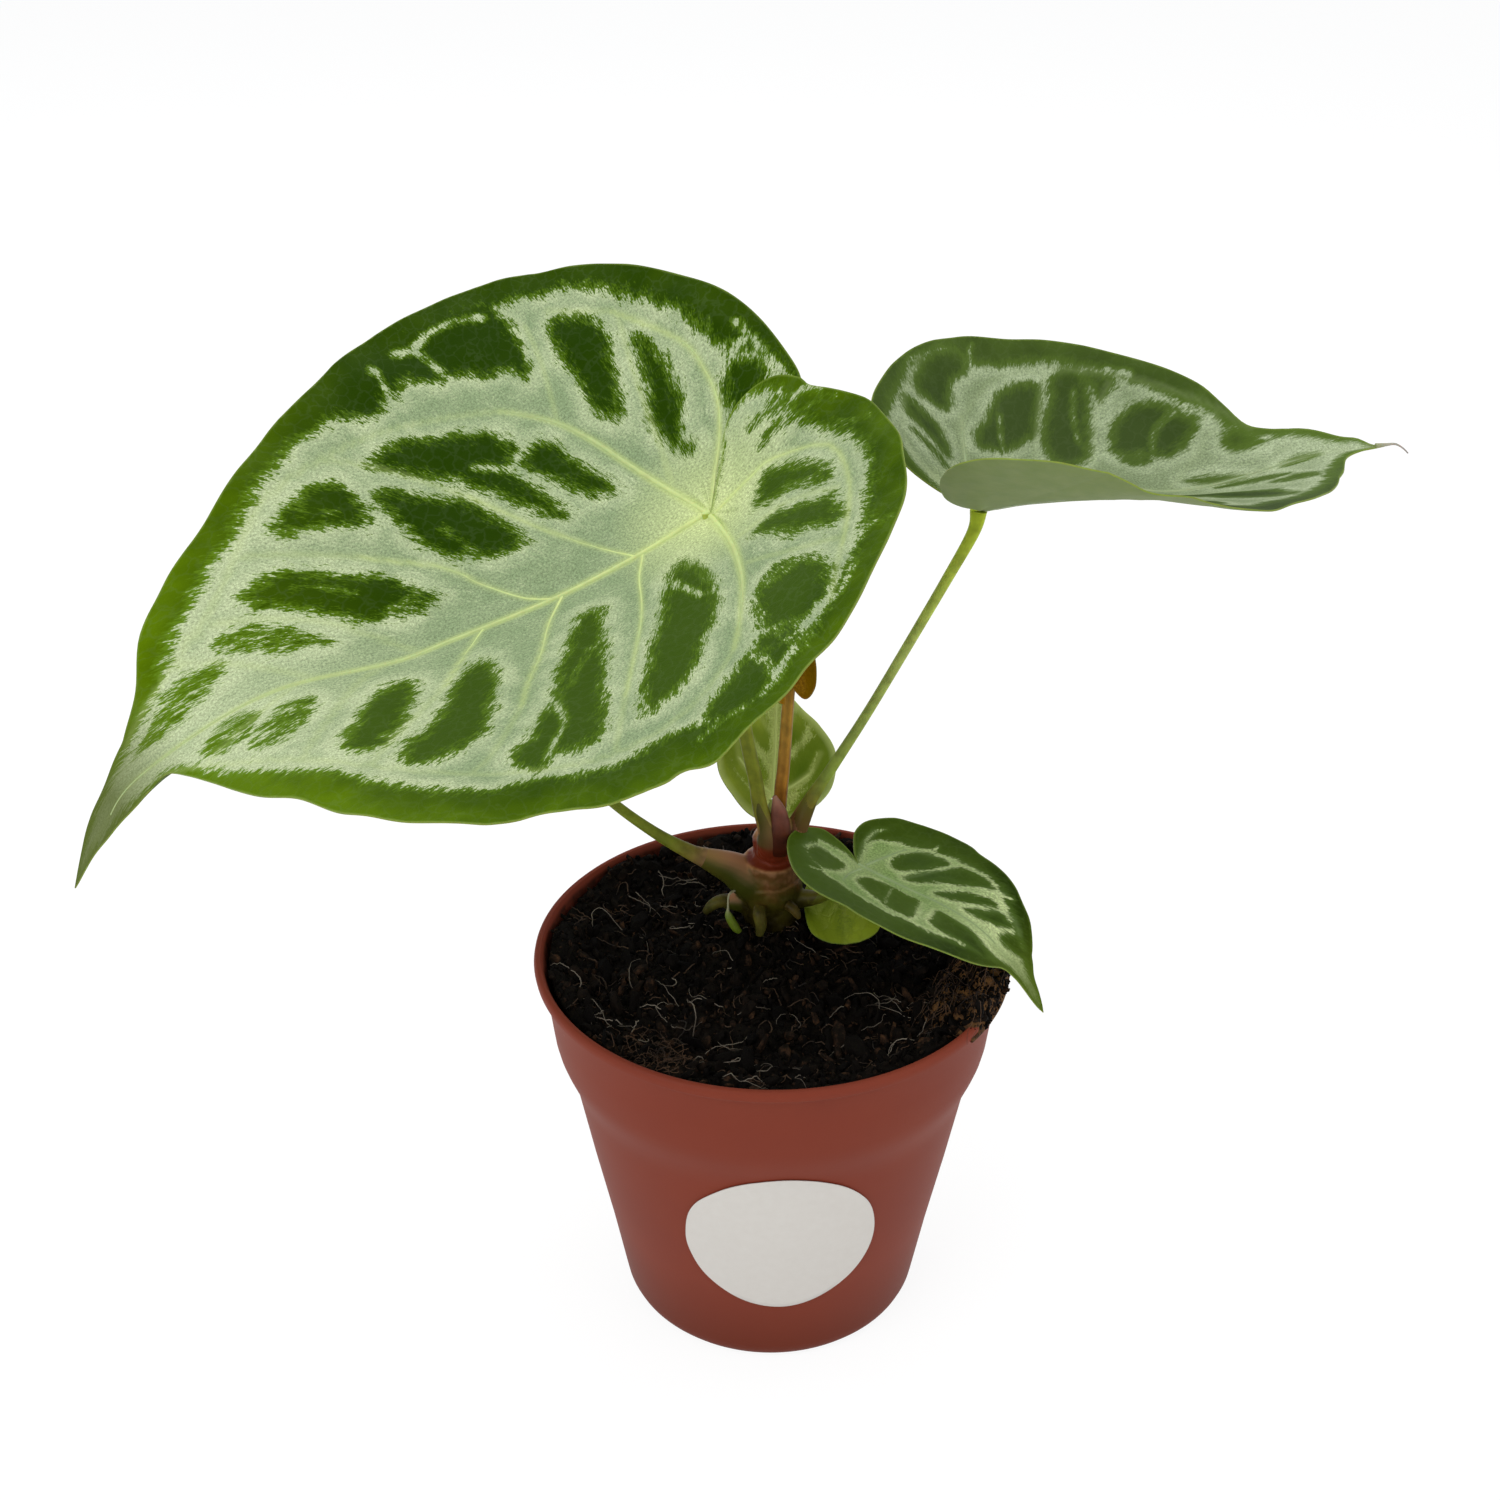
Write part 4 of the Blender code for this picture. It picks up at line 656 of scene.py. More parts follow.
smallLeaf = dict(
    node="blade_small", slot="leaf_dark", step=0.27, thick=0.36, ribLimit=0.13, crack=-0.1, wave=0.08,
    swell=0.18, lumps=0.2, roll=-9.2, twist=2.5, fold=(10.4, 11.8), curl=(-1.6, -1.1), halfWidth=14,
    lobeLift=0.2,
    spine=((5.8, 8.3, 64.2), (10.9, 3.1, 62.0), (15.4, -0.7, 60.8), (20.3, -4.1, 59.9), (25.1, -7.6, 58.6),
           (29.2, -11.3, 56.3), (31.0, -13.2, 54.7), (32.4, -15.1, 52.7)),
    veins=(
        ((0, 0, 0.4), (4, 0.9, 0.34), (10, 1.4, 0.26), (15, 1.4, 0.2), (20, 0.8, 0.16), (25, 0.2, 0.12),
         (29, 0, 0.08)),
        ((0.6, 0.8, 0.3), (1, 4, 0.24), (1.8, 7.5, 0.16), (8, 10.4, 0.08), (13, 10.2, 0.06)),
        ((4.5, 1, 0.12), (8, 7.5, 0.08), (9.6, 9.8, 0.06)),
        ((7.5, 1.4, 0.14), (14, 7.9, 0.1), (16.3, 9, 0.06)),
        ((12, 1.6, 0.12), (18, 6.2, 0.08), (21, 4.8, 0.06)),
        ((0.8, -0.6, 0.3), (1, -3.5, 0.24), (1.8, -6.2, 0.16), (4.5, -7.3, 0.1), (10, -7.5, 0.06)),
        ((10.3, 1.2, 0.14), (12.5, -5.8, 0.08), (15, -6.6, 0.06)),
        ((-0.3, 0.8, 0.16), (-2, 3.4, 0.1), (-2.8, 6.5, 0.06)),
        ((-0.3, -0.8, 0.16), (-4.4, -3.4, 0.08), (-4.5, -5.6, 0.06))),
    right=dict(edge=(
        (30.5, 0, 0.3), (28, 0.9, 0.4), (25, 1.3, 0.8), (23.3, 1.9, 1.3), (22.3, 4, 2.4), (21, 6.3, 3.2),
        (19, 8.6, 3.7), (16.5, 10.6, 4.3), (14, 12, 4.8), (11, 13, 5.1), (8, 13.4, 5.3), (6, 12.9, 4.9),
        (4, 13, 5), (1, 13, 5.6), (-1.5, 12, 5), (-3.5, 10.2, 3.9), (-5.5, 8, 2.8), (-7.4, 5.5, 3),
        (-8.2, 3, 3.5), (-7.8, 0.6, 3.6), (-6.5, -0.6, 3), (-4, -1.1, 2), (-2, -0.9, 0.9), (0, 0, 0)),
        patches=(
        ((2.3, 2.5), (3, 1), (5, 0.3), (7.5, 0.1), (9.6, 0.1), (10, 1.2), (10.6, 3), (11.1, 5),
         (11.2, 6.3), (10, 6.7), (8, 6.4), (6, 5.7), (4, 4.9), (2.6, 4.2)),
        ((12.3, 0.2), (12.8, 3), (13.6, 4.9), (15.5, 5.2), (18.5, 4.6), (21.5, 4), (22.5, 2.2), (20, 1.2),
         (17, 0.2), (14, 0)),
        ((-4, 3), (-2, 2.3), (-0.6, 2.2), (0, 3.5), (0, 5.5), (-1, 6.8), (-2.5, 7), (-3.8, 6), (-4.3, 4.5))),
        lines=(
        ((5.7, 0.4, 0.12), (6.6, 3, 0.15), (7.6, 6, 0.2)),
        ((-0.6, 1.5, 0.3), (-3, 1.9, 0.25), (-4.4, 3.2, 0.3), (-4.5, 5.6, 0.15)),
        ((12.5, 5.8, 0.4), (15, 5.6, 0.3), (18.5, 5, 0.15)), ((13.4, 6, 0.4), (14.6, 7.4, 0.2)),
        ((0, 7.2, 0.3), (-1.4, 8.8, 0.15)), ((3.5, 7.6, 0.4), (7, 8, 0.4), (10, 8.1, 0.3)))),
    left=dict(edge=(
        (30.5, 0, 0.3), (28, 0.9, 0.4), (25.8, 1.8, 0.9), (24.2, 3.4, 1.5), (22.5, 5.4, 2),
        (20.5, 7.8, 2.3), (18.5, 9.5, 2.2), (16.2, 11.5, 2), (13.5, 13, 2.6), (10.5, 13.8, 3.3),
        (8.5, 14.6, 4), (6.5, 14.8, 4.3), (3, 14.4, 4.6), (-0.1, 13.2, 5), (-2.7, 11.2, 4.8), (-4, 8.8, 4),
        (-4.6, 6.5, 3.4), (-4.2, 4.3, 2.6), (-3, 2.6, 1.6), (-1.5, 1, 0.7), (0, 0, 0)), patches=(
        ((2.2, 4), (2, 6), (3, 8), (4.5, 9.2), (7, 9.6), (8.4, 9.1), (7.4, 7.5), (6, 5.5), (5, 4),
         (3.6, 3.2)),
        ((5.3, 2.8), (6.5, 5.5), (8.5, 8), (10, 9.6), (12, 10), (14, 9.6), (15.3, 8.6), (13.5, 7.8),
         (11, 6.1), (9, 4.7), (7, 3)),
        ((10, 2.6), (11, 4), (13, 5.8), (15.5, 6.7), (17, 6.3), (15, 4.8), (12.5, 3.2)),
        ((14.3, 2.8), (16, 4.5), (18, 5.7), (20, 4.6), (18.5, 3.2), (16.5, 2.6)),
        ((19.8, 2.8), (21, 4.2), (23.5, 4), (24.5, 2.5), (22, 1.6), (20.3, 1.7))), lines=(
        ((-0.8, 2.2, 0.4), (-2.2, 4, 0.2), (-2.8, 6.2, 0.15), (-2.4, 8, 0.05)),
        ((5, 10.5, 0.3), (4.7, 11.5, 0.15)), ((10, 10.3, 0.3), (12.5, 10.2, 0.25), (14, 10, 0.1)),
        ((17.5, 6.6, 0.25), (20, 5.2, 0.2), (22.5, 3.6, 0.15)), ((15.5, 8.4, 0.35), (17.3, 8.9, 0.15)))))


def fromRays(pairs, band):               # an edge given as (degrees from the midrib, radius)
    return [(radius * math.cos(math.radians(angle)), radius * math.sin(math.radians(angle)),
             band * math.sin(math.radians(min(angle, 90) * 0.9 + 9)) * min(1, (170 - angle) / 60))
            for angle, radius in pairs] + [(0, 0, 0)]


backEdge = fromRays(((0, 17.3), (6, 14.5), (16, 12.7), (30, 11.7), (50, 10.5), (75, 8), (100, 5.5),
                     (130, 4), (150, 3)), 2.4)
backVeins = [((0, 0, 0.3), (6, 0, 0.26), (12, 0, 0.18), (16, 0, 0.1)),
             ((0.5, 0.2, 0.2), (2, 2.6, 0.16), (4.5, 5, 0.12), (8, 5.4, 0.06)),
             ((0.5, -0.2, 0.2), (1.6, -2.4, 0.18), (3.5, -4.6, 0.14), (6.5, -6, 0.08))]
for side in (1, -1):
    backVeins += [((4, 0, 0.12), (7, 3 * side, 0.1), (10, 4.6 * side, 0.06)),
                  ((8, 0, 0.1), (10.5, 2 * side, 0.08), (12.5, 2.6 * side, 0.06))]
backLeaf = dict(
    node="blade_back", slot="leaf_young", step=0.25, thick=0.36, ribLimit=0.09, wave=0.05, swell=0.15,
    lumps=0.15, roll=16.4, twist=0, fold=(14.1, 10.7), curl=(-4.9, -5.7), halfWidth=8.5, veins=backVeins,
    spine=((-0.1, 10.8, 62.5), (0.2, 14.0, 65.3), (0.4, 16.6, 67.6), (0.6, 19.2, 70.0),
           (0.7, 21.5, 72.5), (0.8, 23.7, 75.2), (0.8, 25.7, 78.0)),
    left=dict(edge=backEdge, patches=(
        ((1, 2), (2, 5), (5, 6.5), (8, 6), (6, 3.5), (4, 1.6), (2.4, 1)),
        ((6, 1.2), (9, 4), (12, 3.4), (11, 1.6), (8, 0.8))), lines=()),
    right=dict(edge=backEdge, patches=(
        ((1.2, 2.6), (2, 5), (5, 7), (9, 7), (8, 4.4), (5, 2.2), (3, 1.4)),
        ((6.5, 1.4), (9, 4), (12, 3.6), (11, 1.8), (8.5, 1))),
        lines=(((0.6, 2, 0.3), (2, 3.8, 0.35), (4, 5, 0.3), (6.5, 5.6, 0.15)),)))


def enlarged(rows):                      # the hidden leaf has the small leaf's markings, enlarged
    return [(along * 1.15, across * 1.22, *rest) for along, across, *rest in rows]


leftLeaf = dict(
    smallLeaf, node="blade_left", thick=0.38, halfWidth=16, lobeLift=0, roll=-4, twist=0, fold=(12, 12),
    curl=(0, 0), step=0.34,
    spine=((-26.5, 9.6, 80.0), (-32.0, 11.2, 79.4), (-40.0, 13.4, 79.2), (-48.0, 15.6, 78.8),
           (-56.0, 17.8, 77.4), (-62.0, 19.4, 75.2), (-65.0, 20.2, 73.0)),
    veins=[enlarged(line) for line in smallLeaf["veins"]],
    **{name: {part: enlarged(rows) if part == "edge" else [enlarged(line) for line in rows]
              for part, rows in smallLeaf[name].items()} for name in ("left", "right")})

bronzeHalf = dict(patches=(), lines=(), edge=fromRays((
    (0, 22), (4, 19), (12, 16), (25, 12), (45, 7.2), (70, 5), (100, 4.4), (130, 4.3), (155, 3.6)), 1.5))
bronzeLeaf = dict(
    node="blade_bronze", slot="leaf_bronze", step=0.3, thick=0.34, wave=0.1, swell=0.12, lumps=0.2,
    roll=0, twist=0, fold=(34, 34), curl=(8, 8), halfWidth=8, left=bronzeHalf, right=bronzeHalf,
    spine=((3.1, 4.5, 82.3), (1.4, 8.1, 86.0), (0.4, 11.7, 89.3), (-0.8, 15.6, 92.2),
           (-2.6, 19.4, 93.2), (-4.2, 23.0, 92.4), (-5.2, 25.4, 90.8)),
    veins=(((0, 0, 0.3), (8, 0, 0.22), (20, 0, 0.1)), ((0, 0.2, 0.2), (3, 4, 0.14), (9, 5, 0.08)),
           ((0, -0.2, 0.2), (3, -4, 0.14), (9, -5, 0.08))))

roundHalf = dict(patches=(), lines=(), edge=fromRays((
    (0, 10), (12, 9.9), (28, 9.3), (48, 6.9), (72, 5.2), (100, 4), (130, 3), (155, 2)), 9))
roundVeins = [((0, 0, 0.16), (5, 0, 0.12), (9.6, 0, 0.06))]
for side in (1, -1):
    roundVeins += [((0.3, 0, 0.12), (2, 2.6 * side, 0.08), (6, 3.4 * side, 0.05)),
                   ((2.5, 0, 0.1), (5, 2 * side, 0.07), (7.5, 2.4 * side, 0.05))]
roundLeaf = dict(
    node="blade_round", slot="leaf_young", step=0.22, thick=0.34, wave=0.05, swell=0.2, lumps=0.25,
    roll=0, twist=0, fold=(10, 10), curl=(-8, -8), halfWidth=5, left=roundHalf, right=roundHalf,
    spine=((9.6, 13.0, 55.0), (9.4, 11.0, 54.2), (9.4, 8.4, 53.4), (9.4, 5.8, 52.5),
           (9.4, 3.4, 51.6), (9.5, 1.4, 50.9)), veins=roundVeins)


# Leaf blade: a waxy living leaf. Air under the skin of the pale bands scatters light, so they look
# silvered and grainy, while the dark parts are smooth and slightly glossy.
def buildLeafSkin(name, look):
    material, node, shader = newMaterial(name, Roughness=look["roughness"], IOR=1.45,
                                         Specular_IOR_Level=look["gloss"], Specular_Tint="e0e858")
    frayed, vein, margin, half = (node("Attribute", attribute_name=key).outputs["Fac"]
                                  for key in ("silver", "vein", "margin", "half"))
    grain, flat = (node("Attribute", attribute_name=key).outputs["Vector"] for key in ("grain", "flat"))
    along = node("SeparateXYZ", flat)    # towards the tip, in millimetres
    tipStart, tipEnd, tipColour = look["tip"]
    # streaks along the side veins fray every border: broad ones 2.6 mm wide, fine ones 0.18 mm wide
    for width, length, share in ((2.6, 2.4, 0.6), (0.9, 2.2, 0.6), (0.35, 1.3, 0.8), (0.18, 0.45, 0.8)):
        amount = look["fray"] * share
        stretched = node("VectorMath", grain, (1 / width, 1 / length, 1 / width), operation="MULTIPLY")
        streak = node("TexNoise", stretched, Scale=1.0, Detail=2.0, Roughness=0.6)
        shift = node("MapRange", streak, 0.25, 0.75, -amount, amount)
        frayed = node("Math", frayed, shift, operation="ADD")
    silver = node("MapRange", frayed, -0.15, look.get("soft", 0.4), interpolation_type="SMOOTHSTEP")
    late = node("MapRange", along, tipStart * 0.55, tipStart * 0.95, 0.0, 1.2)
    # the fringe is wider and fresher towards the tip
    strong = node("Math", late, 0.3, look["border"], operation="MULTIPLY_ADD")
    border = node("MapRange", frayed, -1.6, 0.0, 0.0, strong, interpolation_type="SMOOTHSTEP")
    # grains of the silvered skin, 0.3 mm so that they show, and slow change of tone over 5 mm
    grains = node("TexNoise", flat, Scale=3.3, Detail=2.0, Roughness=0.9)
    slow = node("TexNoise", flat, Scale=0.22, Detail=2.0)
    depth = node("MapRange", frayed, 0.0, look["fringe"], 1.0, 0.25)
    bright = node("Math", depth, slow, operation="MULTIPLY")
    tipward = node("MapRange", along, tipStart / 2, tipStart, 0.0, 0.3)
    bright = node("Math", bright, tipward, operation="ADD")
    bright = node("MapRange", bright, 0.1, 0.55)
    pale = node("Mix", bright, look["silverDull"], look["silverPale"], data_type="RGBA")
    # the silver is yellower round the end of the stalk
    spread = node("VectorMath", flat, operation="LENGTH")
    glow = node("MapRange", spread, 0.0, look["glow"][0], 0.9, 0.0)
    pale = node("Mix", glow, pale, look["glow"][1], data_type="RGBA")
    speckle = node("MapRange", grains, 0.3, 0.7, 0.55, 1.38)
    pale = node("Mix", 1.0, pale, speckle, data_type="RGBA", blend_type="MULTIPLY")
    # dark tissue: deeper in the middle of a patch, fresher towards the edge of the leaf
    outer = node("MapRange", margin, 0.0, 7.0, 0.75, 0.15)
    fresh = node("Math", outer, slow, operation="MULTIPLY")
    # painted light: the left half (side 1) is painted fresher than the right half
    lit = node("MapRange", half, -1.0, 1.0, 0.45, 1.5)
    lit = node("Math", lit, late, operation="ADD")
    early = node("Math", late, 0.28, operation="MULTIPLY")
    fresh = node("Math", fresh, lit, early, operation="MULTIPLY_ADD", use_clamp=True)
    dark = node("Mix", fresh, look["dark"], look["fresh"], data_type="RGBA")
    # painted sheen: a bluish reflection painted over the left half (side 1), away from its edge
    paintedSheenShare = node("MapRange", half, -1.0, 1.0, 0.0, look["paintedSheen"])
    inner = node("MapRange", margin, 3.0, 9.0)
    paintedSheenShare = node("Math", paintedSheenShare, inner, operation="MULTIPLY")
    # the finest veins are a net of 1.8 mm meshes, drawn 0.1 mm wide so that they show
    wander = node("TexNoise", flat, Scale=0.8, Detail=2.0).outputs["Color"]
    pulled = node("VectorMath", wander, 1.6, operation="SCALE")
    pulled = node("VectorMath", flat, pulled, operation="ADD")
    net = node("TexVoronoi", pulled, Scale=0.55, feature="DISTANCE_TO_EDGE")
    net = node("MapRange", net, 0.02, 0.09, look["net"], 0.0)
    broken = node("Math", net, slow, operation="MULTIPLY")
    for share, tone in ((paintedSheenShare, "bloomColour"), (broken, "silverDull"), (border, "halo")):
        dark = node("Mix", share, dark, look[tone], data_type="RGBA")
    colour = node("Mix", silver, dark, pale, data_type="RGBA")
    veined = node("Math", vein, look["veinTint"], operation="MULTIPLY")
    rim = node("MapRange", margin, 0.05, look["rimWidth"], 0.6, 0.0)
    wither = node("MapRange", along, tipStart, tipEnd, 0.0, 0.85)        # to a dull olive at the tip
    for share, tone in ((veined, look["vein"]), (rim, look["rim"]), (wither, tipColour)):
        colour = node("Mix", share, colour, tone, data_type="RGBA")
    rough = node("MapRange", silver, 0.0, 1.0, look["roughness"], look["roughness"] + 0.12)
    height = node("Math", net, grains, operation="ADD")
    bump = node("Bump", Strength=0.35, Distance=0.00012, Height=height)
    feed(shader, Base_Color=colour, Roughness=rough, Normal=bump)
    return material


# Underside of a leaf: matt and paler, with the net of veins standing out.
def buildLeafBack(name, body, veinColour):
    material, node, shader = newMaterial(name, Roughness=0.62, IOR=1.42, Specular_IOR_Level=0.15)
    flat = node("Attribute", attribute_name="flat").outputs["Vector"]
    vein = node("Attribute", attribute_name="vein").outputs["Fac"]
    net = node("TexVoronoi", flat, Scale=0.5, feature="DISTANCE_TO_EDGE")
    net = node("MapRange", net, 0.02, 0.12, 0.1, 0.0)
    slow = node("TexNoise", flat, Scale=0.4, Detail=3.0)
    tone = node("Mix", slow, *body, data_type="RGBA")
    rib = node("Math", vein, 0.45, operation="MULTIPLY")
    lined = node("Math", net, rib, operation="MAXIMUM")
    colour = node("Mix", lined, tone, veinColour, data_type="RGBA")
    feed(shader, Base_Color=colour, Normal=node("Bump", Strength=0.3, Distance=0.0002, Height=net))
    return material


# Living tissue of ribs, rims, stalks and roots: smooth, moist skin with fine lengthwise lines.
def buildStem(name, stops, spots=0.25, lines=0.2):
    material, node, shader = newMaterial(name, Roughness=0.42, IOR=1.42, Specular_IOR_Level=0.15,
                                         Subsurface_Weight=0.1, Subsurface_Scale=0.001)
    along, facing = (node("Attribute", attribute_name=key).outputs["Fac"] for key in ("along", "facing"))
    ramp = node("ValToRGB", along)
    addStops(ramp, stops)
    place = node("TexCoord").outputs["Object"]
    blotch = node("TexNoise", place, Scale=700.0, Detail=3.0)    # blotches of about 1.5 mm
    light = node("MapRange", blotch, 0.3, 0.7, 1 - spots, 1 + spots)
    ridge = node("MapRange", facing, 0.3, 0.85, 1.0, 1 + lines)
    both = node("Math", light, ridge, operation="MULTIPLY")
    colour = node("Mix", 1.0, ramp, both, data_type="RGBA", blend_type="MULTIPLY")
    feed(shader, Base_Color=colour, Normal=node("Bump", Strength=0.25, Distance=0.0002, Height=blotch))
    return material


# glow and tip: how far from the stalk's end, in millimetres, and the colour there
darkLook = dict(
    dark="1a3400", fresh="526e02", halo="5c7c1a", silverDull="839670", silverPale="b3bf97", fringe=3.0,
    glow=(13, "ccd898"), rimWidth=0.3, tip=(66, 76, "525c2a"), vein="b8c77e", veinTint=0.48, rim="7d9240",
    net=0.08, fray=1.0, paintedSheen=0.8, bloomColour="385010", border=0.6, roughness=0.45, gloss=0.05)
rightLook = dict(
    darkLook, dark="2e3e1a", fresh="4c6226", halo="536a2a", silverDull="7b8a66", silverPale="a9b693",
    glow=(9, "b4c28c"), vein="a0ae80", veinTint=0.3, tip=(49, 53, "868a60"), bloomColour="3a4b24",
    fray=0.5, fringe=2.2, soft=0.9)
smallLook = dict(
    darkLook, dark="4a6218", fresh="293d05", halo="56702c", silverDull="8ca764", silverPale="cfdda2",
    vein="a0b482", veinTint=0.35, fringe=1.0, glow=(4, "a2b478"), tip=(19, 27, "52641a"),
    bloomColour="3c5224", border=0.4, fray=0.38)
youngLook = dict(
    darkLook, dark="46620c", fresh="bccc4c", halo="6f8426", silverDull="7e9242", silverPale="a9b866",
    glow=(5, "a8b060"), tip=(15, 18, "8f9950"), vein="b4c070", veinTint=0.7, bloomColour="50661c",
    rim="d4e290", rimWidth=1.1, fray=0.5)
bronzeLook = dict(
    darkLook, dark="7c5a02", fresh="967008", halo="8c6408", silverDull="86600a", silverPale="a07418",
    glow=(4, "9a6c20"), tip=(18, 22, "865c0c"), vein="b0702c", bloomColour="7a5608", rim="a8702c",
    fray=0.3, net=0.1)
roundLook = dict(
    darkLook, dark="5f740c", fresh="94a62a", halo="7c8e22", silverDull="5e7014", silverPale="768a20",
    glow=(3, "74861e"), tip=(9, 12, "8c9e2c"), vein="93a33c", bloomColour="697e16", rim="8d9c3c",
    roughness=0.2, gloss=0.4, fray=0.8, net=0.35)
ribTones = dict(                         # from the stalk outwards
    large=("c4d28a", "b0c082", "98a874"), right=("a6b488", "98a67c", "8a9872"),
    small=("a4b886", "98ac7a", "8ca070"))

print("building the leaves")
rimSkin = buildStem("cutEdgeOfLeaf", ((0, "7a8e3c"), (1, "8a9c4a")), spots=0.1)
for leaf, look, under in (
        (bigLeaf, darkLook, ("5f7040", "6f804c")), (rightLeaf, rightLook, ("73874c", "8b9764")),
        (smallLeaf, smallLook, ("6a8046", "7b8f54")), (leftLeaf, smallLook, ("6a8046", "7b8f54")),
        (backLeaf, youngLook, ("6f8440", "86964f")), (bronzeLeaf, bronzeLook, ("8a4d18", "9c5c22")),
        (roundLeaf, roundLook, ("6a7d22", "7c8e2e"))):
    title = leaf["node"].replace("blade_", "")
    skin = buildLeafSkin("waxyLeaf_" + title, look)
    back = buildLeafBack("mattLeafBack_" + title, under, look["silverDull"])
    leafPiece(leaf, (skin, back, rimSkin))
    if title in ribTones:
        tones = list(zip((0, 0.5, 1), ribTones[title]))
        skin = buildStem("ribOfLeaf_" + title, tones, spots=0.08, lines=0)
    veinPiece(leaf, skin)

# Nursery pot: injection-moulded polypropylene, left matt by a fine spark-eroded mould
pot = dict(                              # outer, lip and floorEdge: height and radius
    outer=((0, 18.1), (0.25, 18.85), (0.9, 19.4), (1.6, 19.7), (2.4, 19.85), (12, 21.5), (23, 23.6),
           (32, 25.2), (33.6, 25.5), (35.2, 25.9), (37, 26.6), (38.4, 27.15), (39.6, 27.55), (41, 27.85),
           (45, 28.3), (49.4, 28.75), (50, 28.9), (50.3, 29.15), (50.45, 29.65), (50.7, 29.92),
           (51.2, 30), (51.7, 29.9), (51.95, 29.65), (52, 29.4), (51.95, 29.15)),
    lip=((50, 28.5), (51, 28.75), (51.7, 28.95)), lipFrom=15, footFrom=4,       # rows of outer
    wall=0.9, floor=1.2, floorEdge=((1.5, 18.2), (1.2, 17.6)), steps=256,
    holes=5, holeRadius=2.0, holeCircle=11.0, holeSides=32)
innerWall = [(height, radius - pot["wall"]) for height, radius in pot["outer"][:pot["lipFrom"]]]
innerWall += pot["lip"]


def innerRadius(height):                 # inside of the wall
    return float(np.interp(height, *zip(*innerWall)))


def turnedPiece(name, chain, steps, material):       # chain of (radius, height); radius 0 is a pole
    points, rows = [], []
    for radius, height in chain:
        first = len(points)
        if radius == 0:
            points.append((0, 0, height))
            rows.append([first] * steps)
            continue
        angles = np.arange(steps) * 2 * math.pi / steps
        points += [(radius * math.cos(a), radius * math.sin(a), height) for a in angles]
        rows.append(list(range(first, first + steps)))
    return newPiece(name, points, ringFaces(rows, outward=True), (material,))


def buildPotPlastic():
    material, node, shader = newMaterial("mouldedPolypropylene", Roughness=0.55, IOR=1.49,
                                         Specular_IOR_Level=0.12)
    place = node("TexCoord").outputs["Object"]
    height = node("SeparateXYZ", place).outputs["Z"]
    blotch = node("TexNoise", place, Scale=60.0, Detail=4.0)     # faint clouds of 15 mm
    grit = node("TexNoise", place, Scale=3500.0, Detail=2.0)     # spark texture, 0.3 mm
    # painted shade: the lower wall is painted darker towards the foot
    foot = node("MapRange", height, 0.003, 0.014, 0.8, 0.0)
    # dust and peat smears lie near the rim
    specks = node("MapRange", node("TexVoronoi", place, Scale=420.0), 0.04, 0.12, 0.8, 0.0)
    high = node("MapRange", height, 0.044, 0.052, 0.0, 1.0)
    patchy = node("MapRange", blotch, 0.52, 0.62)
    # the inside of the wall is painted darker: partly damp peat that clings to it, partly painted shade under
    # the rim. The wall's slope is taken away first
    spread = node("VectorMath", place, (1, 1, 0), operation="MULTIPLY")
    spread = node("VectorMath", spread, operation="LENGTH")
    upright = node("Math", height, -0.107, spread, operation="MULTIPLY_ADD")
    inside = node("MapRange", upright, 0.02334, 0.02344, 1.0, 0.0)
    clean = node("MapRange", height, 0.0510, 0.0516, 1.0, 0.0)
    upper = node("MapRange", height, 0.043, 0.046)
    smearAndShade = node("TexNoise", place, Scale=500.0, Detail=4.0)
    smearAndShade = node("MapRange", smearAndShade, 0.4, 0.6, 0.55, 0.95)
    for mask in (high, patchy):
        specks = node("Math", specks, mask, operation="MULTIPLY")
    for mask in (clean, upper, smearAndShade):
        inside = node("Math", inside, mask, operation="MULTIPLY")
    colour = node("Mix", blotch, "783426", "853b27", data_type="RGBA")
    for share, tone in ((foot, "6a2812"), (specks, "b08a76"), (inside, "30180f")):
        colour = node("Mix", share, colour, tone, data_type="RGBA")
    feed(shader, Base_Color=colour, Normal=node("Bump", Strength=0.2, Distance=0.00005, Height=grit))
    return material


def buildPot():
    rows = [*pot["outer"], *innerWall[pot["footFrom"]:][::-1], *pot["floorEdge"]]
    chain = [(0, 0)] + [(radius, height) for height, radius in rows] + [(0, pot["floor"])]
    piece = turnedPiece("nursery_pot", chain, pot["steps"], buildPotPlastic())
    shape = bmesh.new()
    for hole in range(pot["holes"]):
        angle = 2 * math.pi * (hole + 0.5) / pot["holes"]
        made = bmesh.ops.create_cone(shape, cap_ends=True, segments=pot["holeSides"], depth=4 * mm,
                                     radius1=pot["holeRadius"] * mm, radius2=pot["holeRadius"] * mm)
        bmesh.ops.translate(shape, verts=made["verts"], vec=Vector((
            pot["holeCircle"] * math.cos(angle), pot["holeCircle"] * math.sin(angle), 0.6)) * mm)
    data = bpy.data.meshes.new("holeCutter")
    shape.to_mesh(data)
    shape.free()
    cutter = addObject("holeCutter", data)
    cut = piece.modifiers.new("holes", "BOOLEAN")
    cut.operation, cut.solver, cut.object = "DIFFERENCE", "EXACT", cutter
    convert(piece)
    bpy.data.objects.remove(cutter)
    smoothShade(piece.data, 35)
    finishPiece(piece, "pot_plastic", "pot")


print("building the pot")
buildPot()

# Sticker: white coated paper with a clear matt film, its edge cut clean and pressed down on the wall
label = dict(
    # distance round the wall from the middle, and height
    outline=((-10.9, 24.5), (-10.2, 28.2), (-8.2, 31.3), (-3.8, 34.7), (2.1, 36), (8, 33.7),
             (11.9, 29.4), (13.3, 24.4), (12.8, 19.6), (10.3, 15.4), (5.8, 12.2), (1.1, 11.1),
             (-3.9, 12.4), (-8.4, 16.1), (-10.6, 20.6)),
    middle=(1.2, 23.8), gap=0.12, thick=0.16, rings=14)


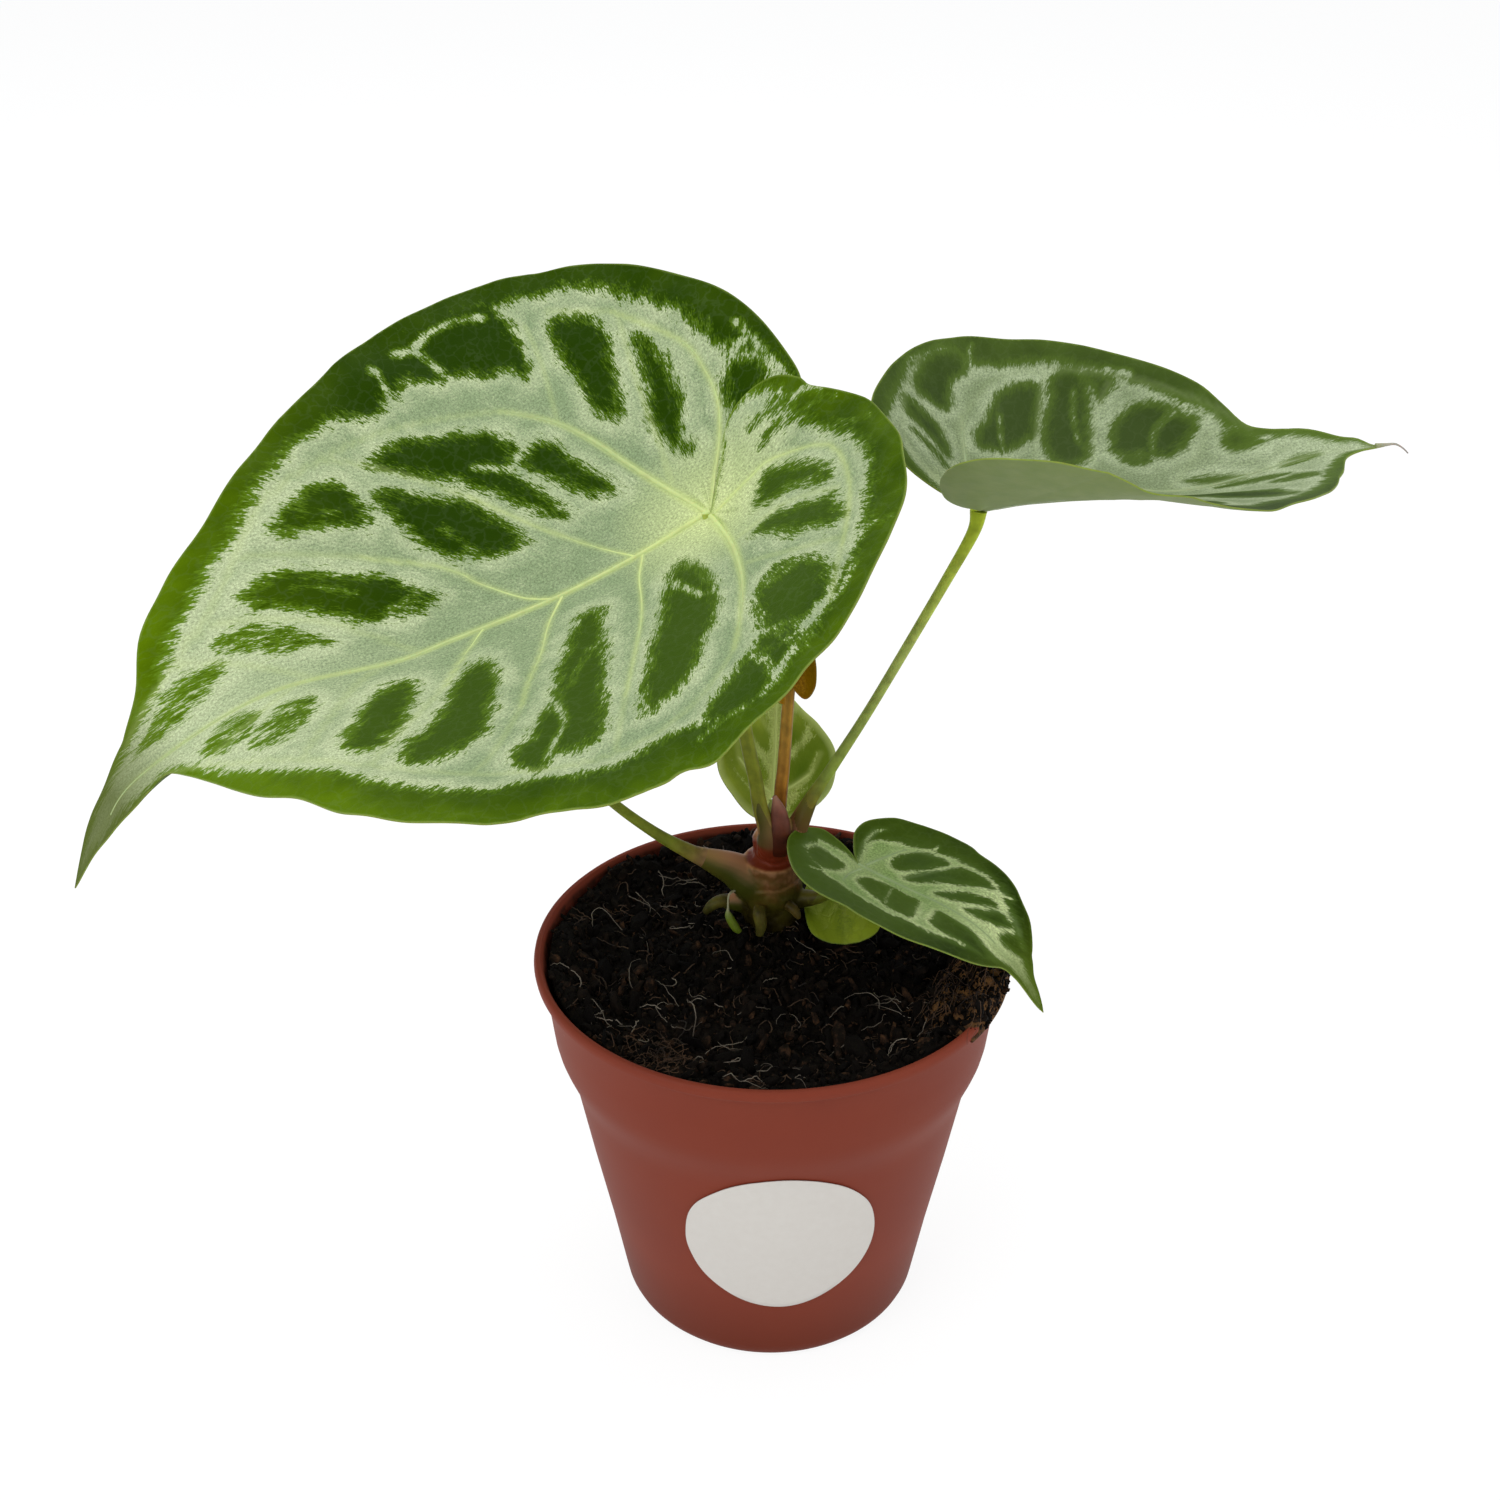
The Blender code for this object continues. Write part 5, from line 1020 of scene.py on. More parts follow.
def buildLabelPaper():
    material, node, shader = newMaterial("coatedPaper", Roughness=0.42, IOR=1.5)
    fibre = node("TexNoise", node("TexCoord").outputs["Object"], Scale=900.0, Detail=4.0)     # 1 mm cloud
    tone = node("Mix", fibre, "d3cec7", "dad6d0", data_type="RGBA")
    feed(shader, Base_Color=tone, Normal=node("Bump", Strength=0.1, Distance=0.00003, Height=fibre))
    return material


def wrapped(place, lift):                # a flat place laid round the wall
    around, height = place
    radius = np.interp(height, *zip(*pot["outer"]))
    angle = around / radius - math.pi / 2
    return ((radius + lift) * math.cos(angle), (radius + lift) * math.sin(angle), height)


def buildLabel():
    outline = smoothRoute(label["outline"], 8, closed=True)
    centre, count, rings = np.array(label["middle"]), len(outline), label["rings"]
    low, high = label["gap"], label["gap"] + label["thick"]
    profile = [(step / rings, high) for step in range(rings + 1)]
    profile += [(1.004, (low + high) / 2 + 0.03), (1.002, low)]  # the edge is slightly rounded
    profile += [(step / rings, low) for step in range(rings - 1, -1, -1)]
    points = [wrapped(centre + (place - centre) * max(part, 0.002), lift)
              for part, lift in profile for place in outline]
    rows = np.arange(len(points)).reshape(-1, count).tolist()
    faces = ringFaces(rows) + [rows[0], rows[-1][::-1]]
    piece = newPiece("label_blank", points, faces, (buildLabelPaper(),))
    shape = bmesh.new()
    shape.from_mesh(piece.data)
    bmesh.ops.recalc_face_normals(shape, faces=shape.faces)
    shape.to_mesh(piece.data)
    shape.free()
    smoothShade(piece.data, 40)
    finishPiece(piece, "label_paper", "label")


print("building the sticker")
buildLabel()

# Potting peat: dark moist sphagnum and coir, in crumbs of 0.3 to 3 mm, with pale loose fibres
soil = dict(
    level=48.4, tilt=-0.01, heap=2.55, heapReach=11.0, crownX=0.1, crownY=6.0, top=51.9,
    wallHeap=2.4, wallFrom=20.5, wallTo=27.5,        # it is heaped against the wall
    lumps=0.9, clumps=0.45, grit=0.35, gap=0.25, depth=14, rings=96, steps=300, seed=4,
    crumbs=dict(Density=2.2e6, Smallest=0.00018, Largest=0.0011),    # per square metre, and metres
    clods=dict(Density=1.6e5, Smallest=0.0006, Largest=0.0021),
    dry=((24.0, -8.0), (-15.0, -21.0)))  # places where it has dried to a lighter brown


def soilHeight(x, y):
    place = Vector((x, y, 0))
    centre = (x - soil["crownX"]) ** 2 + (y - soil["crownY"]) ** 2
    height = soil["level"] - soil["tilt"] * y + soil["heap"] * math.exp(-centre / soil["heapReach"] ** 2)
    height += soil["lumps"] * noise.noise(place * 0.22)
    height += soil["clumps"] * noise.fractal(place * 0.5, 0.8, 2.2, 4)
    height += soil["grit"] * abs(noise.noise(place * 1.6 + Vector((7, 3, 1))))
    rise = soil["wallHeap"] * float(ease(soil["wallFrom"], soil["wallTo"], math.hypot(x, y)))
    height += rise * (1 + 0.4 * noise.noise(Vector((x, y, 9)) * 0.14))
    return min(height, soil["top"] + 0.3 * noise.noise(Vector((x, y, 5)) * 0.9))


def dryness(x, y):
    nearest = min(math.hypot(x - place[0], y - place[1]) for place in soil["dry"])
    return 0.5 + 0.5 * math.exp(-(nearest / 6) ** 2) * (1 + noise.noise(Vector((x, y, 4)) * 0.5))


def buildPeat():
    material, node, shader = newMaterial("moistPeat", Roughness=0.8, IOR=1.4, Specular_IOR_Level=0.12)
    tone = node("Attribute", attribute_name="tone").outputs["Fac"]
    crumb = node("TexNoise", node("TexCoord").outputs["Object"], Scale=1100.0, Detail=4.0, Roughness=0.7)
    ramp = node("ValToRGB", node("Math", tone, crumb, operation="MULTIPLY"))
    addStops(ramp, ((0, "060403"), (0.25, "0d0906"), (0.42, "19120c"), (0.55, "38261a"), (1, "74522f")))
    feed(shader, Base_Color=ramp, Normal=node("Bump", Strength=0.7, Distance=0.0004, Height=crumb))
    return material


def buildSoil():
    points = [(soil["crownX"], soil["crownY"], soilHeight(soil["crownX"], soil["crownY"]))]
    rings, steps = soil["rings"], soil["steps"]
    for part in (ring / rings for ring in range(1, rings + 1)):
        for step in range(steps):
            angle = 2 * math.pi * step / steps
            x, y = math.cos(angle), math.sin(angle)
            height = soilHeight(x * 27 * part, y * 27 * part)
            radius = (innerRadius(min(height, 49)) - soil["gap"]) * part
            points.append((x * radius, y * radius, soilHeight(x * radius, y * radius)))
    rim, base = points[-steps:], soil["level"] - soil["depth"]
    points += [(x * 0.985, y * 0.985, z - 3) for x, y, z in rim]
    for x, y, z in rim:
        reach = (innerRadius(base) - soil["gap"]) / math.hypot(x, y)
        points.append((x * reach, y * reach, base))
    points.append((0, 0, base))
    rows = np.arange(1, len(points) - 1).reshape(-1, steps).tolist()
    faces = ringFaces([[0] * steps] + rows + [[len(points) - 1] * steps])
    piece = newPiece("peat", points, faces, (peat,))
    setAttribute(piece.data, "tone", [dryness(x, y) for x, y, z in points])
    smoothShade(piece.data)
    finishPiece(piece, "soil_peat", "soil")


def strew(piece, seed, sizes):           # crumbs take the place of the faces that they lie on
    addTree(piece, crumbTree, Seed=seed, Material=peat, **sizes)
    convert(piece)
    finishPiece(piece, "soil_peat")


# A clod of the peat has spilled over the rim at the right
spill = dict(
    # tone lightens the spilled peat: partly the lighter brown of drier peat, partly painted light where the
    # small leaf shades it
    angles=(-1.0, -38.0), radii=(18.5, 30.15), rim=51.95, thick=1.9, sunk=0.35, tone=0.85,
    rows=100, columns=120,
    crumbs=dict(Density=4.5e6, Smallest=0.00015, Largest=0.0008))


def spillHeight(x, y):
    away, angle = math.hypot(x, y), math.degrees(math.atan2(y, x))
    shape = Vector((x, y, 3))
    ragged = noise.noise(shape * 0.4)
    onRim = float(ease(27, 28.6, away))
    ground = soilHeight(x, y) * (1 - onRim) + spill["rim"] * onRim - 0.6 * float(ease(29.6, 30.1, away))
    (first, last), (inner, outer) = spill["angles"], spill["radii"]
    cover = float(ease(0, 1, min(first - angle, angle - last) / 8 + 0.4 * ragged))
    cover *= float(ease(0, 1, (away - inner) / 4 - 0.3 + 0.5 * ragged) * ease(0, 0.6, outer - away))
    lump = 0.75 + 0.55 * noise.fractal(shape * 0.4, 0.8, 2.2, 4) + 0.25 * abs(noise.noise(shape * 1.5))
    return ground - spill["sunk"] + cover * (spill["sunk"] + spill["thick"] * max(lump, 0.1))


def buildSpill():
    low, top, rows, columns = [], [], spill["rows"] + 1, spill["columns"] + 1
    for angle in np.radians(np.linspace(*spill["angles"], columns)):
        for away in np.linspace(*spill["radii"], rows):
            x, y = away * math.cos(angle), away * math.sin(angle)
            top.append((x, y, spillHeight(x, y)))
            low.append((x, y, min(top[-1][2] - 0.05, 50.5)))
    size = len(top)
    grid = np.arange(size).reshape(columns, rows)
    a, b = grid[:-1, :-1].ravel(), grid[1:, :-1].ravel()
    sheet = np.stack((a, b, b + 1, a + 1), 1)
    under = np.stack((a, a + 1, b + 1, b), 1)
    edge = [*grid[:, 0], *grid[-1, 1:], *grid[-2::-1, -1], *grid[0, -2:0:-1]]
    faces = np.stack((under, sheet + size), 1).reshape(-1, 4).tolist()
    faces += [(a, b, size + b, size + a) for a, b in zip(edge, edge[1:] + edge[:1])]
    # the spill's tone is raised above the dryness of the peat, partly as painted light
    tone = [dryness(x, y) + spill["tone"] for x, y, z in top]
    piece = newPiece("peat_spill", low + top, faces, (peat,))
    setAttribute(piece.data, "tone", tone * 2)
    smoothShade(piece.data)
    finishPiece(piece, "soil_peat")
    cover = newPiece("spill_crumbs", top, sheet.tolist(), (peat,))
    setAttribute(cover.data, "tone", tone)
    strew(cover, soil["seed"] + 1, spill["crumbs"])


def buildCrumbs(name, sizes, rings=24, steps=90, inner=0.4, outer=28):
    points = []
    for ring in range(rings + 1):
        for step in range(steps):
            angle, radius = 2 * math.pi * step / steps, inner + (outer - inner) * ring / rings
            x, y = radius * math.cos(angle), radius * math.sin(angle)
            points.append((x, y, soilHeight(x, y) + 0.1))
    rows = np.arange(len(points)).reshape(-1, steps).tolist()
    strew(newPiece(name, points, ringFaces(rows), (peat,)), soil["seed"], sizes)


def fibreRoutes(count, seed, length, thick, centre=(0, 0), spread=26, rise=0.25, curl=0.5,
                ground=soilHeight, reach=27.5, steps=14):
    draw = np.random.default_rng(seed)
    routes = []
    while len(routes) < count:
        angle, away = draw.uniform(0, 2 * math.pi), spread * math.sqrt(draw.uniform(0, 1))
        x, y = centre[0] + away * math.cos(angle), centre[1] + away * math.sin(angle)
        if math.hypot(x, y) > reach:
            continue
        heading, turn, radius = draw.uniform(0, 2 * math.pi), draw.normal(0, curl), draw.uniform(*thick)
        stride, route = draw.uniform(*length) / steps, []
        arch = draw.uniform(0.2, 1.0) * rise * stride * steps
        for step in range(steps + 1):
            part = step / steps
            lift = arch * math.sin(math.pi * part) + 0.12            # it thins towards its end
            route.append((x, y, ground(x, y) + lift, radius * (1 - 0.6 * part)))
            heading += turn * 0.35 + draw.normal(0, 0.28)
            x, y = x + stride * math.cos(heading), y + stride * math.sin(heading)
            if math.hypot(x, y) > reach + 0.7:
                break
        if len(route) > 4:
            routes.append(route)
    return routes


def buildFibre(name, low, high):         # dry root and coir fibres, dull and straw-coloured
    material, node, shader = newMaterial(name, Roughness=0.7, IOR=1.45)
    change = node("TexNoise", node("TexCoord").outputs["Object"], Scale=260.0, Detail=2.0)
    spread = node("MapRange", change, 0.35, 0.65)
    feed(shader, Base_Color=node("Mix", spread, low, high, data_type="RGBA"))
    return material


print("building the peat")
peat = buildPeat()
buildSoil()
buildSpill()
buildCrumbs("peat_crumbs", soil["crumbs"])
buildCrumbs("peat_clods", soil["clods"])
paleFibre = buildFibre("paleRootFibre", "4a4036", "8f8476")
brownFibre = buildFibre("brownCoirFibre", "1a120b", "4e3723")
rustFibre = buildFibre("dryCoirFibre", "1a0f08", "5a3f28")
for name, count, seed, options, material in (
        ("root_fibres", 75, 11, dict(thick=(0.05, 0.1), length=(3, 8)), paleFibre),
        ("coir_fibres", 260, 12, dict(thick=(0.05, 0.13), length=(2, 5), rise=0.12), brownFibre),
        ("spill_fibres", 90, 13, dict(centre=(24.5, -9), spread=7, length=(2, 5), rise=0.5, curl=0.2,
                                      thick=(0.03, 0.08), ground=spillHeight, reach=29.6), rustFibre),
        ("edge_fibres", 90, 14, dict(centre=(-15, -21), spread=6, length=(2, 4), rise=0.4,
                                     thick=(0.03, 0.08)), rustFibre)):
    finishPiece(tubePiece(name, fibreRoutes(count, seed, **options), material, sides=4), "soil_peat")

# Crown: the short woody stem, swollen where leaves grew, with a red neck under the newest stalks
crown = dict(
    foot=(0.1, 7.4, 40.0), steps=64, voxel=0.19, smoothing=4,
    profile=((0, 1.6), (0.8, 2.4), (5, 3.2), (10, 3.7), (12.6, 3.85), (14.6, 3.9), (16.6, 3.95),
             (18.4, 3.75), (19.3, 3.7), (19.9, 3.75), (20.35, 3.5), (20.6, 3.0), (20.9, 2.55),
             (21.6, 2.35), (22.6, 2.4), (23.4, 2.5), (24.2, 2.0)),
    # stalk bases that grow out of it: (x, y, z, radius)
    bases=(((-1.0, 6.8, 56.0, 2.6), (-3.0, 6.8, 57.6, 2.7), (-4.9, 6.7, 59.0, 2.2), (-6.8, 6.4, 60.1, 1.75),
            (-8.8, 6.2, 61.1, 1.25), (-11.2, 6.3, 62.2, 0.8), (-13.0, 6.5, 63.2, 0.5)),
           ((0.1, 6.2, 62.0, 2.0), (0.0, 5.6, 63.6, 1.9), (-0.2, 5.2, 65.0, 1.6), (-0.7, 5.1, 66.8, 1.15),
            (-1.35, 5.0, 68.8, 0.85), (-1.6, 5.0, 70.5, 0.5)),
           ((1.2, 6.9, 61.0, 2.0), (2.4, 6.8, 63.2, 1.6), (3.2, 6.7, 65.0, 1.4), (4.1, 6.45, 67.5, 1.15),
            (5.2, 6.25, 70.2, 0.85), (6.3, 6.1, 72.4, 0.5)),
           ((0.6, 6.6, 61.2, 2.0), (1.0, 6.2, 63.6, 1.6), (1.1, 5.8, 66.0, 1.3), (1.2, 6.4, 68.2, 0.7)),
           ((1.6, 6.6, 54.2, 1.9), (4.0, 6.2, 54.8, 1.25), (5.6, 5.6, 55.3, 0.95), (7.2, 5.0, 56.2, 0.5)),
           ((-2.4, 7.0, 53.6, 1.7), (-4.6, 6.9, 53.9, 1.3), (-6.2, 6.6, 53.7, 0.7))),
    # scars of old leaves round the body: height and depth
    scars=((54.4, 0.12), (57.6, 0.14)), scarWidth=0.22, roughness=0.16)


def buildCrown():
    foot, bark = crown["foot"], buildBark()
    chain = [(0, crown["profile"][0][0] - 0.3)]
    chain += [(radius, height) for height, radius in smoothRoute(crown["profile"], 3)]
    chain += [(0, crown["profile"][-1][0] + 0.6)]
    piece = turnedPiece("crown_stem", chain, crown["steps"], bark)
    piece.data.transform(Matrix.Translation(Vector(foot) * mm))
    stubs = tubePiece("stubs", [smoothRoute(route, 6) for route in crown["bases"]], bark, sides=20)
    shape = bmesh.new()
    shape.from_mesh(piece.data)
    shape.from_mesh(stubs.data)
    shape.to_mesh(piece.data)
    shape.free()
    bpy.data.objects.remove(stubs)
    remesh = piece.modifiers.new("union", "REMESH")
    remesh.mode, remesh.voxel_size = "VOXEL", crown["voxel"] * mm
    smooth = piece.modifiers.new("fillet", "SMOOTH")
    smooth.factor, smooth.iterations = 0.5, crown["smoothing"]
    convert(piece)
    places = np.array([vertex.co for vertex in piece.data.vertices]) / mm
    x, y, z = places.T
    centre = np.stack([foot[0] + 0 * z, foot[1] - 0.035 * (z - 50), z], 1)       # it leans to the front
    away = np.linalg.norm(places - centre, axis=1)
    outward = (places - centre) / np.maximum(away, 1e-6)[:, None]
    stump = np.full(len(z), -9.0)        # how deep each point lies inside a stalk base
    for route in crown["bases"]:
        dense = smoothRoute(route, 4)[4:]
        for start, end in zip(dense, dense[1:]):
            gap, part = segmentDistance(places, start[:3], end[:3])
            stump = np.maximum(stump, start[3] + (end[3] - start[3]) * part - gap)
    reach = np.hypot(x - foot[0], y - foot[1]) + 0.5 + np.maximum(z - 63.2, 0) * 1.5
    onStalk = ease(-0.5, 0.0, stump) * ease(3.6, 4.6, reach)
    rough = np.array([noise.fractal(Vector(place) * 0.55, 0.7, 2.1, 3) for place in places])
    change = crown["roughness"] * rough * (1 - onStalk)
    tilted = z - 0.1 * (x - foot[0])
    for height, depth in crown["scars"]:
        wander = 0.25 * np.array([noise.noise(Vector((px, py, height)) * 0.35) for px, py in places[:, :2]])
        ring = np.exp(-((tilted + wander - height) / crown["scarWidth"]) ** 2)
        change -= depth * ring * (1 - onStalk)
    places = places + outward * change[:, None]
    piece.data.vertices.foreach_set("co", (places * mm).ravel())
    setAttribute(piece.data, "neck", ease(60.1, 60.5, z) * ease(64.2, 63.2, z) * ease(3.6, 3.0, away))
    setAttribute(piece.data, "stalk", onStalk)
    setAttribute(piece.data, "leftward", ease(1.0, -3.0, x))
    piece.data.update()
    upward = np.array([vertex.normal.z for vertex in piece.data.vertices])
    setAttribute(piece.data, "upward", ease(0.0, 0.95, upward))
    smoothShade(piece.data)
    finishPiece(piece, "crown_bark", "crown")


def buildBark():                         # green bark over cork: tan above, olive below, red at the neck
    material, node, shader = newMaterial("corkyStemBark", Roughness=0.42, IOR=1.42, Specular_IOR_Level=0.2)
    place = node("TexCoord").outputs["Object"]
    parts = node("SeparateXYZ", place).outputs
    neck, stalk, leftward, upward = (node("Attribute", attribute_name=key).outputs["Fac"]
                                     for key in ("neck", "stalk", "leftward", "upward"))
    wander = node("TexNoise", place, Scale=420.0, Detail=3.0)    # blotches of 2 mm
    shifted = node("MapRange", wander, 0.3, 0.7, -0.2, 0.2)
    height = node("MapRange", parts["Z"], 0.051, 0.0602)
    cork = node("ValToRGB", node("Math", height, shifted, operation="ADD"))
    addStops(cork, ((0, "221a04"), (0.2, "3c340c"), (0.45, "524c14"), (0.68, "6a5420"), (0.86, "80582f"),
                    (1, "a87850")))
    # the stalk bases are pink flesh above and green below, and olive out along the left one
    flesh = node("MapRange", parts["Z"], 0.0625, 0.0700)
    low = node("MapRange", parts["Z"], 0.057, 0.060)
    outer = node("MapRange", parts["X"], -0.0115, -0.005)
    base = node("Mix", flesh, "8c5640", "6b6a26", data_type="RGBA")
    base = node("Mix", low, "504a18", base, data_type="RGBA")
    left = node("Mix", upward, "4a4e14", "94684a", data_type="RGBA")
    left = node("Mix", outer, "6c6426", left, data_type="RGBA")
    base = node("Mix", leftward, base, left, data_type="RGBA")
    colour = node("Mix", stalk, cork, base, data_type="RGBA")
    # painted light and shade: faces that look up are painted lighter, faces that look down darker
    shade = node("MapRange", upward, 0.0, 1.0, 0.72, 1.4)
    colour = node("Mix", 1.0, colour, shade, data_type="RGBA", blend_type="MULTIPLY")
    red = node("Mix", wander, "5c1a06", "8c3a20", data_type="RGBA")
    colour = node("Mix", neck, colour, red, data_type="RGBA")
    feed(shader, Base_Color=colour, Normal=node("Bump", Strength=0.4, Distance=0.0002, Height=wander))
    return material


# Stalks, the sheath and young roots: (x, y, z, radius) along each
stems = dict(
    petiole_large=dict(
        route=((0.1, 6.3, 62.0, 0.9), (0.0, 5.6, 63.3, 1.5), (-0.15, 5.3, 64.6, 1.6), (-0.6, 5.1, 66.4, 1.25),
               (-1.3, 5.0, 68.6, 1.0), (-1.65, 5.0, 70.4, 0.93), (-2.0, 5.0, 73.0, 0.9),
               (-3.2, 5.0, 79.4, 0.88), (-5.1, 6.0, 91.8, 0.88), (-6.8, 8.0, 102.0, 0.95),
               (-7.25, 9.0, 106.8, 1.1)),
        stops=((0, "6c2c18"), (0.035, "824a34"), (0.09, "8e6644"), (0.15, "747028"), (0.24, "727822"),
               (0.8, "7e8a28"), (1, "9aa84c")), groove=0.4),
    petiole_right=dict(
        route=((3.0, 6.75, 64.4, 1.5), (3.7, 6.6, 66.5, 1.25), (5.0, 6.3, 69.6, 0.95),
               (7.3, 6.0, 73.9, 0.76), (11.5, 6.0, 81.6, 0.66), (16.0, 6.5, 90.2, 0.66),
               (20.6, 7.0, 99.2, 0.7), (23.5, 7.7, 104.9, 0.82), (24.05, 8.0, 107.6, 1.1)),
        stops=((0, "9a6650"), (0.06, "946c48"), (0.11, "7c722c"), (0.2, "869840"), (0.6, "a6b45e"),
               (1, "a8ba28")), groove=0.12),
    petiole_bronze=dict(
        route=((0.9, 7.9, 62.4, 0.8), (0.9, 7.8, 64.0, 0.85), (1.2, 7.4, 70.3, 0.85),
               (1.5, 7.3, 73.9, 0.8), (2.0, 7.7, 82.9, 0.75), (2.3, 8.1, 87.4, 0.8)),
        stops=((0, "6c3c1e"), (0.3, "8c5e22"), (0.7, "96722a"), (1, "845e18")), groove=0.4, lines=0.6,
        slot="stalk_red"),
    petiole_left=dict(
        route=((-8.6, 6.2, 61.0, 1.3), (-10.3, 6.2, 61.8, 1.02), (-14.6, 6.8, 64.2, 0.76),
               (-20.0, 8.0, 68.0, 0.66), (-26.6, 10.0, 73.8, 0.62), (-32.0, 11.2, 79.2, 0.8)),
        stops=((0, "866644"), (0.06, "746a2c"), (0.16, "6e7622"), (0.6, "768424"), (1, "82922f")),
        groove=0.2),
    petiole_small=dict(
        route=((5.0, 5.8, 55.1, 1.0), (6.4, 5.3, 55.6, 0.82), (8.6, 4.5, 57.4, 0.65),
               (10.1, 3.7, 59.7, 0.6), (10.9, 3.1, 61.6, 0.7)),
        stops=((0, "5e5820"), (0.3, "66701e"), (1, "7f9036")), groove=0.15),
    petiole_round=dict(
        route=((3.8, 9.1, 52.6, 0.6), (4.7, 9.5, 52.6, 0.6), (6.8, 10.4, 52.8, 0.5),
               (9.3, 11.0, 54.0, 0.45)),
        stops=((0, "6f7a28"), (1, "7f9030"))),
    petiole_back=dict(
        route=((0.2, 10.2, 60.2, 0.9), (0.2, 11.4, 61.1, 0.7), (0.2, 12.7, 62.4, 0.6),
               (0.15, 14.0, 65.0, 0.55)),
        stops=((0, "7a6a34"), (1, "8a9a4c"))),
    sheath=dict(
        route=((1.0, 5.0, 62.8, 1.3), (1.05, 4.7, 63.9, 1.35), (1.1, 4.7, 66.3, 1.3),
               (0.85, 5.0, 68.6, 0.95), (0.35, 5.3, 70.6, 0.25)),
        stops=((0, "3e1609"), (0.4, "4c2516"), (0.75, "724438"), (1, "946a58")), groove=0.1,
        slot="stalk_red"),
    root_green_tip=dict(
        route=((-3.9, 5.3, 56.9, 0.16), (-5.3, 4.3, 56.7, 0.14), (-5.5, 3.3, 55.2, 0.14),
               (-5.4, 3.0, 54.2, 0.5), (-4.6, 2.6, 52.8, 0.55), (-4.0, 2.5, 52.1, 0.35)),
        stops=((0, "9a9478"), (0.5, "a09c7c"), (0.58, "7c8a48"), (0.7, "6c7e24"), (1, "5c6e1a"))),
    root_nub_left=dict(
        route=((-5.4, 6.8, 54.1, 0.9), (-6.6, 6.7, 54.0, 0.85), (-7.7, 6.6, 53.4, 0.7),
               (-8.5, 6.5, 52.4, 0.45)),
        stops=((0, "4a4018"), (0.6, "5a5622"), (1, "3c3814")), spots=0.5),
    root_nub_front=dict(
        route=((-1.4, 3.3, 55.3, 0.8), (-1.5, 2.6, 54.7, 0.85), (-1.3, 2.2, 53.4, 0.75),
               (-1.5, 1.9, 52.0, 0.5)),
        stops=((0, "4c4216"), (0.6, "5a5622"), (1, "3c3814")), spots=0.5),
    root_nub_right=dict(
        route=((2.2, 3.9, 55.3, 0.7), (2.8, 3.3, 55.1, 0.65), (3.3, 2.9, 54.5, 0.5),
               (3.5, 2.7, 54.0, 0.25)),
        stops=((0, "483c16"), (1, "5a4c22")), spots=0.4))


def buildStems():
    for name, stem in stems.items():
        skin = buildStem("livingSkin_" + name, stem["stops"], stem.get("spots", 0.25),
                         stem.get("lines", 0.2))
        route = smoothRoute(stem["route"], 10)
        piece = tubePiece("stem_" + name, [route], skin, sides=24, groove=stem.get("groove", 0.0))
        usual = "root_skin" if name.startswith("root") else "stalk_green"
        finishPiece(piece, stem.get("slot", usual), name)


print("building the crown, stalks and roots")
buildCrown()
buildStems()

# Dry thread at the tip of the right leaf, the withered end of its drip tip
dryThread = dict(
    route=((72.8, 19.2, 111.4, 0.32), (74.0, 19.4, 111.45, 0.22), (75.2, 19.5, 111.5, 0.14),
           (76.2, 19.6, 111.0, 0.1), (77.0, 19.6, 110.3, 0.08)),
    stops=((0, "8a9068"), (0.4, "a8a496"), (1, "8c8682")))
thread = tubePiece("leaf_tip_thread", [smoothRoute(dryThread["route"], 6)],
                   buildStem("witheredTip", dryThread["stops"]), sides=8)
finishPiece(thread, "leaf_dark")

